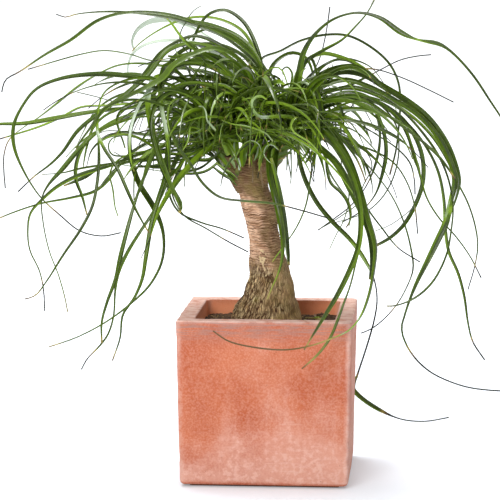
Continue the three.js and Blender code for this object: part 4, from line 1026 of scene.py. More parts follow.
# %% Traced leaves
# For each head, a row for each leaf: how far behind the front-view plane the tip reaches, the
# blade's width, and the route in front view as "x z" points.
TRACED = {
    "left": read_table("""
* -60 | 8 | -98 531, -148 555, -201 565, -248 567, -297 560, -331 545, -351 520, -363 493, -363 465,
  -351 432, -326 392, -297 365, -269 343, -238 336, -211 341
* -120 | 7.5 | -113 534, -169 562, -209 557, -235 540, -243 513, -243 480, -242 444, -245 409, -252 377,
  -269 344, -292 310, -317 270, -333 250, -348 245
* 40 | 8 | -106 506, -162 522, -212 519, -255 513, -297 505, -347 496, -390 494, -428 487
* 120 | 6 | -113 508, -177 525, -233 523, -269 520, -297 505, -326 492, -361 480, -397 469
* -10 | 8.5 | -113 510, -162 518, -212 505, -243 486, -269 461, -294 431, -314 408, -323 389, -321 355,
  -312 314, -299 280, -290 248, -286 227
* 60 | 7.5 | -101 477, -141 471, -184 454, -226 437, -269 423, -300 407, -323 387, -339 368, -343 344,
  -340 315, -327 287, -321 261, -319 228
* 120 | 6.5 | -98 466, -138 460, -177 448, -212 440, -241 434, -262 420, -292 407
* 160 | 6 | -106 483, -148 480, -191 459, -212 439, -229 416, -248 400, -283 390, -323 382, -357 371,
  -394 356
* -170 | 6.5 | -113 503, -155 525, -205 530, -238 513, -245 490, -235 462, -216 433, -202 402, -188 371,
  -171 341
* -90 | 8 | -98 500, -127 514, -140 491, -144 460, -148 420, -158 388, -168 352, -175 309, -181 274,
  -192 248, -208 224, -212 191, -223 158
* -150 | 7 | -101 497, -133 505, -155 481, -169 445, -181 414, -192 381, -202 345, -212 305, -218 276,
  -231 240, -238 213, -238 183
* -40 | 7 | -91 481, -116 474, -135 438, -151 400, -165 371, -184 342, -201 314, -214 285, -219 256,
  -221 223, -229 196, -242 178, -259 160, -267 145
* -110 | 8 | -91 514, -127 543, -155 534, -168 499, -161 459, -150 427, -137 403, -125 381, -128 370
* -160 | 6.5 | -98 526, -127 533, -144 507, -133 471, -113 441, -94 412, -70 393, -35 388, 4 385, 44 376,
  83 365
* 40 | 5 | -93 477, -116 471, -135 443, -144 408, -130 373, -98 357, -67 348, -36 335
* 70 | 5 | -90 463, -113 457, -130 428, -138 400, -121 367, -91 349, -59 330, -30 315
* -100 | 9 | -67 473, -89 460, -110 441, -130 417, -147 391, -160 365, -169 335, -182 305
* 100 | 5 | -76 440, -93 429, -113 426, -144 428, -172 432
* 20 | 5.5 | -87 446, -116 447, -152 441, -181 435, -209 438
* 140 | 7.5 | -91 491, -127 494, -169 482, -209 485, -233 476, -252 459, -260 433
* -30 | 7 | -98 491, -133 488, -167 474, -195 478, -223 483, -243 473
* 70 | 8 | -91 514, -127 525, -169 514, -205 502, -235 490, -258 473, -272 447, -275 418, -266 393,
  -259 366
* 180 | 6 | -104 514, -148 531, -191 542, -223 533, -248 513, -263 487, -275 461
"""),
    "centre": read_table("""
* 60 | 8 | -2 564, -42 613, -91 637, -148 654, -205 655, -243 644, -283 615, -319 594, -354 570, -375 557,
  -380 540
* 120 | 7 | -10 568, -56 617, -98 636, -155 651, -205 656, -241 656, -276 652, -289 648, -303 652
* 170 | 5 | -47 563, -91 584, -134 587, -169 588, -201 597, -236 601, -269 595, -304 585, -343 573
* 200 | 7.5 | -42 546, -91 571, -141 578, -184 583, -215 580, -241 569, -272 550, -304 524, -329 504,
  -351 489, -370 472, -377 450, -377 426, -375 403
* 20 | 8.5 | -36 563, -67 600, -110 613, -144 602, -172 568, -205 538, -241 512, -272 486, -294 455,
  -312 437, -333 421, -357 398
* -30 | 8 | -42 553, -77 581, -120 583, -148 562, -172 528, -195 496, -198 459, -187 416, -164 377,
  -151 343, -152 303, -169 268, -198 239, -233 213, -272 192, -314 177
* 90 | 6 | -10 572, -22 618, -39 646, -63 660, -86 654, -100 636, -110 610, -114 585, -111 560
* 210 | 6.5 | -16 586, -36 628, -62 644, -91 650, -116 648, -141 639, -169 623, -187 609, -195 600
* 240 | 6 | -42 568, -63 603, -98 628, -138 645, -169 643, -188 630, -195 613, -192 602
* 90 | 8 | -19 575, -56 606, -98 611, -130 597, -148 568, -154 531, -147 488, -144 448, -148 410, -158 381,
  -165 352
* 140 | 7.5 | -35 558, -67 586, -101 591, -130 577, -148 559, -169 531, -187 499, -198 473
* 60 | 6.5 | -39 532, -67 549, -98 556, -124 548, -144 528
* 40 | 8 | -16 553, -42 589, -77 614, -106 623, -127 617, -155 599, -175 573, -194 550
* 110 | 7 | -10 561, -25 596, -53 625, -87 633, -113 620, -124 602
* 190 | 5.5 | -19 572, -10 592, 15 602, 44 617, 79 626, 112 625, 146 608, 171 585, 183 560, 186 534,
  184 498, 180 463, 171 427
* 150 | 7 | -2 566, 9 587, 32 600, 52 593, 63 567, 69 533
"""),
    "right": read_table("""
* -120 | 9 | 41 564, 49 601, 66 628, 92 649, 126 658, 157 651, 186 631, 208 621, 242 614, 259 603, 288 572,
  313 535, 335 500, 348 464
* 60 | 5 | 38 558, 52 587, 75 603, 103 619, 122 638, 139 658, 150 679, 156 691
* 140 | 4.5 | 41 544, 61 570, 73 597, 79 621, 83 644, 86 666
* 130 | 7 | 35 555, 48 584, 72 599, 100 595, 129 582, 154 562, 174 537, 184 505
* 170 | 5.5 | 38 538, 55 564, 75 581, 100 592, 123 590, 146 579, 163 557
* 200 | 5 | 51 533, 79 547, 107 552, 136 565, 160 578, 186 591, 211 597, 230 599
* 120 | 5 | 44 540, 72 561, 107 573, 146 578, 186 567, 225 550, 262 532
* 10 | 10 | 44 535, 69 559, 103 573, 134 569, 164 552, 194 534, 225 510, 251 476, 265 445, 271 419,
  267 398, 259 375, 254 355
* -60 | 10 | 46 527, 72 550, 107 562, 143 552, 176 535, 211 513, 238 484, 255 452, 264 420, 258 392,
  251 360, 238 332, 224 303, 211 277, 201 253, 193 229, 188 206, 201 174, 225 149, 251 135, 282 125,
  313 121, 335 120
* 70 | 7 | 46 521, 78 542, 115 550, 157 538, 200 513, 231 483, 251 452, 268 416, 282 388, 292 357, 296 328,
  292 299, 282 264
* -20 | 6.5 | 49 516, 81 536, 117 545, 157 529, 186 503, 203 466, 214 427, 224 394, 242 365, 264 341,
  285 312, 301 281
* -130 | 8 | 49 518, 81 544, 117 553, 157 541, 190 518, 217 489, 240 456, 254 423, 261 385, 258 346,
  251 312, 232 275, 207 252, 181 241, 167 240
* 110 | 8.5 | 52 513, 83 532, 117 539, 157 529, 188 508, 208 480, 218 449, 218 417, 208 386, 191 356,
  171 337, 150 325
* 40 | 7.5 | 52 507, 83 524, 119 535, 157 529, 183 511, 197 483, 206 451, 217 420, 220 402
* 190 | 7 | 52 516, 81 534, 115 542, 143 531, 156 499, 156 465, 147 431, 134 405, 115 382, 95 366, 69 347
* 20 | 7.5 | 55 510, 86 533, 120 532, 147 522, 160 497, 166 462, 161 430, 150 398, 129 374, 103 359
* -170 | 7 | 52 501, 72 509, 100 525, 129 532, 157 519, 188 497, 220 473, 245 449, 265 420
* 100 | 6 | 52 501, 69 506, 93 506, 122 502, 154 484, 183 464, 200 444, 206 420, 207 399
* 30 | 6 | 58 489, 81 482, 109 473, 146 462, 177 444, 196 416, 207 381, 211 343
* -230 | 10 | 46 507, 69 501, 93 479, 115 443, 130 401, 140 362, 149 327, 147 291, 140 254, 129 225,
  113 205, 86 192, 58 182, 22 176, -27 180, -59 188, -80 202
* -200 | 9 | 44 501, 66 496, 93 467, 115 429, 127 391, 130 355, 126 322, 113 288, 95 252, 75 219, 49 176
* -160 | 8 | 44 494, 69 489, 98 459, 119 419, 130 376, 130 336, 123 302, 115 269, 105 241, 96 216, 86 193,
  69 170, 46 149
* -110 | 10 | 41 488, 69 467, 95 443, 113 412, 130 379, 143 344, 147 308, 143 277
* 175 | 8 | 38 477, 42 450, 51 419, 68 386, 90 359, 115 334, 134 308, 149 277, 153 248, 149 220, 139 184,
  125 141, 119 122, 129 110, 154 93, 186 79, 221 76, 255 82
* -60 | 7.5 | 42 544, 46 575, 58 594, 68 569, 71 526, 66 476, 59 426, 52 383, 38 350, 18 321, 4 301
* -95 | 8 | 11 458, 7 421, 14 390, 22 354, 27 318, 28 296
* -120 | 8.5 | 1 461, 0 429, 7 397, 14 368, 19 335, 18 304, 12 283, 4 265, -3 248
* 140 | 7 | 52 493, 69 490, 98 479, 123 458, 149 431, 174 397, 191 360, 201 323, 204 292, 193 263, 180 241,
  161 220, 144 207, 130 201
* -30 | 6 | 49 487, 72 482, 98 459, 119 419, 136 384, 160 351, 183 323, 214 303
* 90 | 7.5 | 52 521, 83 537, 123 542, 164 525, 197 500, 223 467, 240 432, 248 392, 250 352, 255 318,
  268 288, 277 254, 282 218, 289 190, 306 164
* -60 | 7 | 49 521, 66 516, 86 499, 109 470, 123 451, 132 431, 137 416
* 160 | 6.5 | 52 487, 66 473, 79 454, 86 430, 100 408, 113 388, 116 365, 109 351
"""),
}
print({head: len(entries) for head, entries in TRACED.items()}, "traced leaves")

# %% Cores, curves and repeatable numbers
CORE_LENGTH = 34.0
CORE_TIP = 5.0
ROOT_OUT = 0.35
TRACED_STEP = 46.0
RULE_STEPS = 5
FILL = {"left": (34, 11), "centre": (40, 23), "right": (34, 37)}
GOLDEN_ANGLE = 2.39996
GOLDEN_SHARE = 0.618
LOBES = np.array([[-148, 510, 185, 118], [-6, 488, 74, 88], [143, 492, 128, 104]], float)
REACH_BACK = 290.0
FINEST = 1.3


def core_of(head):
    """Start, end, direction and radius of a head's core: it carries on from the end of its arm."""
    start, end, _, radius = ARMS[head]
    axis = unit(np.array(end, float) - np.array(start, float))
    base = np.array(end) + axis * GAP
    return base, base + axis * CORE_LENGTH, axis, radius


def seeded(seed):
    """A source of repeatable numbers from 0 to 1, the same one that places the solids' leaves."""
    state = seed & 0xFFFFFFFF
    while True:
        state = (state + 0x6D2B79F5) & 0xFFFFFFFF
        t = (state ^ (state >> 15)) * (1 | state) & 0xFFFFFFFF
        t = ((t + ((t ^ (t >> 7)) * (61 | t) & 0xFFFFFFFF)) & 0xFFFFFFFF) ^ t
        yield ((t ^ (t >> 14)) & 0xFFFFFFFF) / 4294967296


def even_points(route, count):
    """count + 1 points at equal distances along a centripetal Catmull-Rom curve: a smooth curve
    through every route point, whose knots are spaced by the square root of the distances."""
    route = np.asarray(route, float)
    padded = np.concatenate([[2 * route[0] - route[1]], route, [2 * route[-1] - route[-2]]])
    knots = np.sqrt(np.linalg.norm(np.diff(padded, axis=0), axis=1))

    def curve(t):
        p = np.clip(t, 0, 1) * (len(route) - 1)
        k = np.minimum(p.astype(int), len(route) - 2)
        w = (p - k)[:, None]
        x0, x1, x2, x3 = (padded[k + n] for n in range(4))
        d0, d1, d2 = (knots[k + n][:, None] for n in range(3))
        m1 = ((x1 - x0) / d0 - (x2 - x0) / (d0 + d1) + (x2 - x1) / d1) * d1
        m2 = ((x2 - x1) / d1 - (x3 - x1) / (d1 + d2) + (x3 - x2) / d2) * d1
        c2 = -3 * x1 + 3 * x2 - 2 * m1 - m2
        c3 = 2 * x1 - 2 * x2 + m1 + m2
        return x1 + m1 * w + c2 * w ** 2 + c3 * w ** 3

    fine = np.linspace(0, 1, 201)
    steps = np.linalg.norm(np.diff(curve(fine), axis=0), axis=1)
    length = np.concatenate([[0], np.cumsum(steps)])
    return curve(np.interp(np.linspace(0, length[-1], count + 1), length, fine))


def root_of(core, share, heading):
    """Where a leaf is rooted: inside the core, a share of the way up and out towards its heading."""
    base, tip, axis, radius = core
    out = np.array([math.cos(heading), math.sin(heading), 0])
    out = unit(out - axis * out.dot(axis))
    wide = radius + (CORE_TIP - radius) * share
    return base + (tip - base) * share + out * ROOT_OUT * wide


def blade_width(width, t):
    """Width along a blade: full from near the root, then a long taper to a fine tip."""
    root = 0.8 + 0.2 * np.minimum(t / 0.12, 1)
    return np.maximum(width * root * (1 - t ** 2.2) ** 0.9, FINEST)


def front_view(points):
    """Where points are seen, from the viewpoint, on the upright plane through the trunk."""
    return VIEWPOINT + (points - VIEWPOINT) * (-VIEWPOINT[1] / (points[:, 1] - VIEWPOINT[1]))[:, None]


def leaning_face(heading, lean):
    """The way a blade's upper face looks: up, to one side of its heading, and a little back."""
    c, s = math.cos(heading), math.sin(heading)
    return unit(np.array([-s * lean - 0.2 * c, c * lean - 0.2 * s, 1 - 0.5 * abs(lean)]))


def step_ahead(turn, pitch):
    """Steps of length 1 at a turn about the upright and a pitch above level."""
    return np.stack([np.cos(turn) * np.cos(pitch), np.sin(turn) * np.cos(pitch), np.sin(pitch)], -1)


# %% Routes


def traced_route(core, entry, shift, share):
    """The traced points, each moved along its line of sight to a depth that grows along the leaf."""
    reach, _, (x, z) = entry
    base = core[0]
    hangs = z[0] < base[2]
    heading = math.atan2((reach + shift) / 2 - base[1], x[3] - base[0])
    root = root_of(core, 0.3 if hangs else 0.15 + 0.75 * share, heading)
    flat = np.vstack([root[[0, 2]], np.column_stack([x, z])])
    lengths = np.cumsum(np.linalg.norm(np.diff(flat, axis=0), axis=1))
    t = lengths / lengths[-1]
    depth = root[1] + (reach + shift - root[1]) * (1 - (1 - t) ** (5 if hangs else 2))
    seen = np.column_stack([x, np.zeros(len(x)), z])
    scale = ((depth - VIEWPOINT[1]) / -VIEWPOINT[1])[:, None]
    route = np.vstack([root, VIEWPOINT + (seen - VIEWPOINT) * scale])
    return route, even_points(route, int(lengths[-1] / TRACED_STEP + 0.5))


def rule_route(core, heading, climb, length, droop, sway):
    """A leaf that sets off at a heading and a climb, and bows down by droop along its length."""
    fine = 24
    t = (np.arange(fine) + 0.5) / fine
    pitch = climb - droop * t ** 0.85
    step = step_ahead(heading + sway * t, pitch)
    root = root_of(core, 0.1 + 0.8 * climb / 1.4, heading)
    route = root + np.vstack([[0, 0, 0], np.cumsum(step * length / fine, axis=0)])
    return route, even_points(route, RULE_STEPS)


def piece_distance(a, b, c, d):
    """Shortest distances between the straight pieces a-b and c-d, every one with every other."""
    u, v = (b - a)[:, None], (d - c)[None]
    w = a[:, None] - c[None]
    uu, vv, uv = (u * u).sum(-1), (v * v).sum(-1), (u * v).sum(-1)
    uw, vw = (u * w).sum(-1), (v * w).sum(-1)
    det = uu * vv - uv * uv
    s = np.where(det > 1e-9, np.clip((uv * vw - vv * uw) / np.maximum(det, 1e-9), 0, 1), 0)
    t = np.clip((uv * s + vw) / vv, 0, 1)
    s = np.clip((uv * t - uw) / uu, 0, 1)
    return np.linalg.norm(w + u * s[..., None] - v * t[..., None], axis=-1)


# %% Room between leaves
NEAR_ROOT = 75
ROOM = 4
FORK = 440
OVER_FLOOR = 8


def keeps_clear(leaf, other):
    """Whether two leaves keep apart by about their half widths. Leaves of one head may touch near
    their roots."""
    same = leaf["head"] == other["head"]
    slack, skip = (0.2, NEAR_ROOT) if same else (1.2, 0)
    p, q = leaf["points"], other["points"]
    use_p = np.linalg.norm(p[:-1] - p[0], axis=1) >= skip
    use_q = np.linalg.norm(q[:-1] - q[0], axis=1) >= skip
    if not (use_p.any() and use_q.any()):
        return True
    half_p = blade_width(leaf["width"], np.arange(len(p) - 1) / (len(p) - 1)) / 2
    half_q = blade_width(other["width"], np.arange(len(q) - 1) / (len(q) - 1)) / 2
    need = (half_p[use_p][:, None] + half_q[use_q][None]) * 0.8 + slack
    near = np.linalg.norm(p[:-1][use_p][:, None] - q[:-1][use_q][None], axis=-1) <= need + 130
    gap = piece_distance(p[:-1][use_p], p[1:][use_p], q[:-1][use_q], q[1:][use_q])
    return not (near & (gap < need)).any()


def misses_the_rest(leaf):
    """Whether a leaf stays outside the pot, the trunk, its own arm and the other heads."""
    p, width, head = leaf["points"], leaf["width"], leaf["head"]
    for name, (start, end, _, radius) in ARMS.items():
        if name == head:
            continue
        low, tip = np.array([start], float), core_of(name)[1][None]
        if (piece_distance(p[:-1], p[1:], low, tip) < radius + 6 + width / 2).any():
            return False
    share = np.array([0, 0.25, 0.5, 0.75])[None, :, None]
    q = (p[1:][:, None] + (p[:-1] - p[1:])[:, None] * share).reshape(-1, 3)
    half = POT_TOP / 2 + ROOM
    in_pot = (q[:, 2] < POT_HEIGHT + ROOM) & (np.abs(q[:, :2]) < half).all(1)
    off = np.hypot(q[:, 0] - along(TRUNK, q[:, 2], 1), q[:, 1])
    in_trunk = (q[:, 2] < FORK) & (off < along(TRUNK, q[:, 2], 2) / 2 + ROOM + width / 2)
    beside = q - np.array(ARMS[head][1], float)
    up = beside @ core_of(head)[2]
    beside = beside - up[:, None] * core_of(head)[2]
    in_arm = (up < 2) & (up > -50) & (np.linalg.norm(beside, axis=1) < ARMS[head][3] + 3 + width / 2)
    return not (in_pot | in_trunk | in_arm | (q[:, 2] < OVER_FLOOR)).any()


def inside_lobes(points):
    """Whether a leaf, seen from the viewpoint, stays inside the crown's round lobes."""
    seen = front_view(points)
    x, z, a, b = LOBES.T
    lobe = ((seen[:, :1] - x) / a) ** 2 + ((seen[:, 2:] - z) / b) ** 2 < 1
    return (np.abs(points[:, 1]) <= REACH_BACK).all() and lobe.any(1).all()


# %% Place every leaf


def place_traced():
    """The traced leaves. One that would touch another head's leaf, the pot or the trunk is brought
    forward or put back in growing steps until it is clear."""
    placed = []
    for head, entries in TRACED.items():
        core = core_of(head)
        for number, entry in enumerate(entries):
            share = (number * GOLDEN_SHARE) % 1
            for attempt in range(40):
                shift = (1 if attempt % 2 else -1) * math.ceil(attempt / 2) * 9
                route, points = traced_route(core, entry, shift, share)
                lean = 0.45 + 0.4 * share
                way = -1 if points[-1, 0] < core[0][0] else 1
                face = unit(np.array([0.25 * way, -lean, 1 - 0.6 * lean]))
                leaf = {"points": points, "route": route, "width": entry[1], "face": face,
                        "head": head, "name": "%s %d" % (head, number)}
                others = [o for o in placed if o["head"] != head]
                if misses_the_rest(leaf) and all(keeps_clear(leaf, o) for o in others):
                    placed.append(leaf)
                    break
    return placed


def place_by_rule(placed):
    """The leaves that follow each other round a head at the golden angle. Each is drawn again, a
    little different, until it fits among the others."""
    for head, (count, seed) in FILL.items():
        core = core_of(head)
        for number in range(count):
            random = seeded(seed * 1000 + number)
            for attempt in range(60):
                r = [next(random) for _ in range(8)]
                heading = number * GOLDEN_ANGLE + (r[0] - 0.5) * 1.2
                length = (120 + 190 * r[2]) * (1 - attempt / 90)
                route, points = rule_route(core, heading, 0.3 + 1.1 * r[1], length,
                                           1.4 + 1.5 * r[3], (r[4] - 0.5) * 1.1)
                lean = (0.3 + 0.4 * r[7]) * (-1 if r[6] < 0.5 else 1)
                leaf = {"points": points, "route": route, "width": 5 + 3.5 * r[5], "head": head,
                        "face": leaning_face(heading, lean), "name": "%s rule %d" % (head, number)}
                if (inside_lobes(points) and misses_the_rest(leaf)
                        and all(keeps_clear(leaf, o) for o in placed)):
                    placed.append(leaf)
                    break
    return placed


leaves = place_by_rule(place_traced())
print(len(leaves), "leaves placed, by head:",
      {head: sum(leaf["head"] == head for leaf in leaves) for head in ARMS})

# %% [markdown]
# ## Blades
# A strap leaf is a long thin ribbon with a gutter down its middle, and it twists slowly as it bends.
# Each blade is a grid: one direction runs along the route, the other goes round a thin closed
# section, two flat halves that meet in a narrow fold. The gutter hangs below the route and never
# stands above it. Four numbers go with each point: how far along and across the blade it is, the
# blade's tone, and how dry it is there. The blade's edges are marked sharp, so that each half keeps
# its own clean shade.

# %% Blade surfaces
BLADE_STEP = 7.0
EDGE_ANGLE = 1.1
BROAD = np.array([-1, -0.13, 0.13, 1])
NARROW = np.array([-1, 0, 1])


def smooth_along(v, reach):
    """A moving average along the first axis, with the ends held."""
    padded = np.concatenate([np.repeat(v[:1], reach, 0), v, np.repeat(v[-1:], reach, 0)])
    total = np.cumsum(np.concatenate([np.zeros_like(v[:1]), padded]), axis=0)
    return (total[2 * reach + 1:] - total[:-2 * reach - 1]) / (2 * reach + 1)


def blade_surface(line, width, face, section=BROAD, gutter=0.3, twist=0.0, phase=0.0):
    """Rings of points round one blade. The normal is the face direction made square to the route,
    smoothed, and rolled by a slow sine. Across the blade the upper face is a V, as deep as gutter
    times the half width. The lower face follows it, thickest in the middle. A blade as narrow as a
    hair is nearly round."""
    t = np.linspace(0, 1, len(line))
    ahead = unit(np.gradient(line, axis=0))
    normal = unit(face - ahead * (ahead @ face)[:, None] + 1e-6)
    normal = smooth_along(normal, 3)
    normal = unit(normal - ahead * (normal * ahead).sum(1, keepdims=True))
    side = np.cross(ahead, normal)
    roll = (twist * np.sin(t * 5.2 + phase))[:, None]
    side, normal = side * np.cos(roll) + normal * np.sin(roll), normal * np.cos(roll) - side * np.sin(roll)
    half = width[:, None, None] / 2
    u = section[:, None]
    upper = line[:, None] + side[:, None] * half * u + normal[:, None] * gutter * half * (abs(u) - 1)
    depth = np.minimum(0.75, width / 6) + 0.6 * (1 - fade(width, 1.9, 2.8))
    depth = depth[:, None, None] * (1.05 - 0.8 * u ** 2)
    lower = upper - normal[:, None] * depth
    return np.concatenate([upper, lower[:, ::-1]], 1)


def join_blades(name, blades, replaces=()):
    """One piece from many blades. Each is its rings, its section, its tone, as one number or a number
    for each point, and how dry each ring is."""
    tubes = [(rings, {"along": np.linspace(0, 1, len(rings))[:, None],
                      "across": np.concatenate([section, section[::-1]]), "tone": tone,
                      "dry": dry[:, None]}) for rings, section, tone, dry in blades]
    piece = add_tubes(name, tubes, LEAF, "leaf", replaces)
    piece.data.set_sharp_from_angle(angle=EDGE_ANGLE)
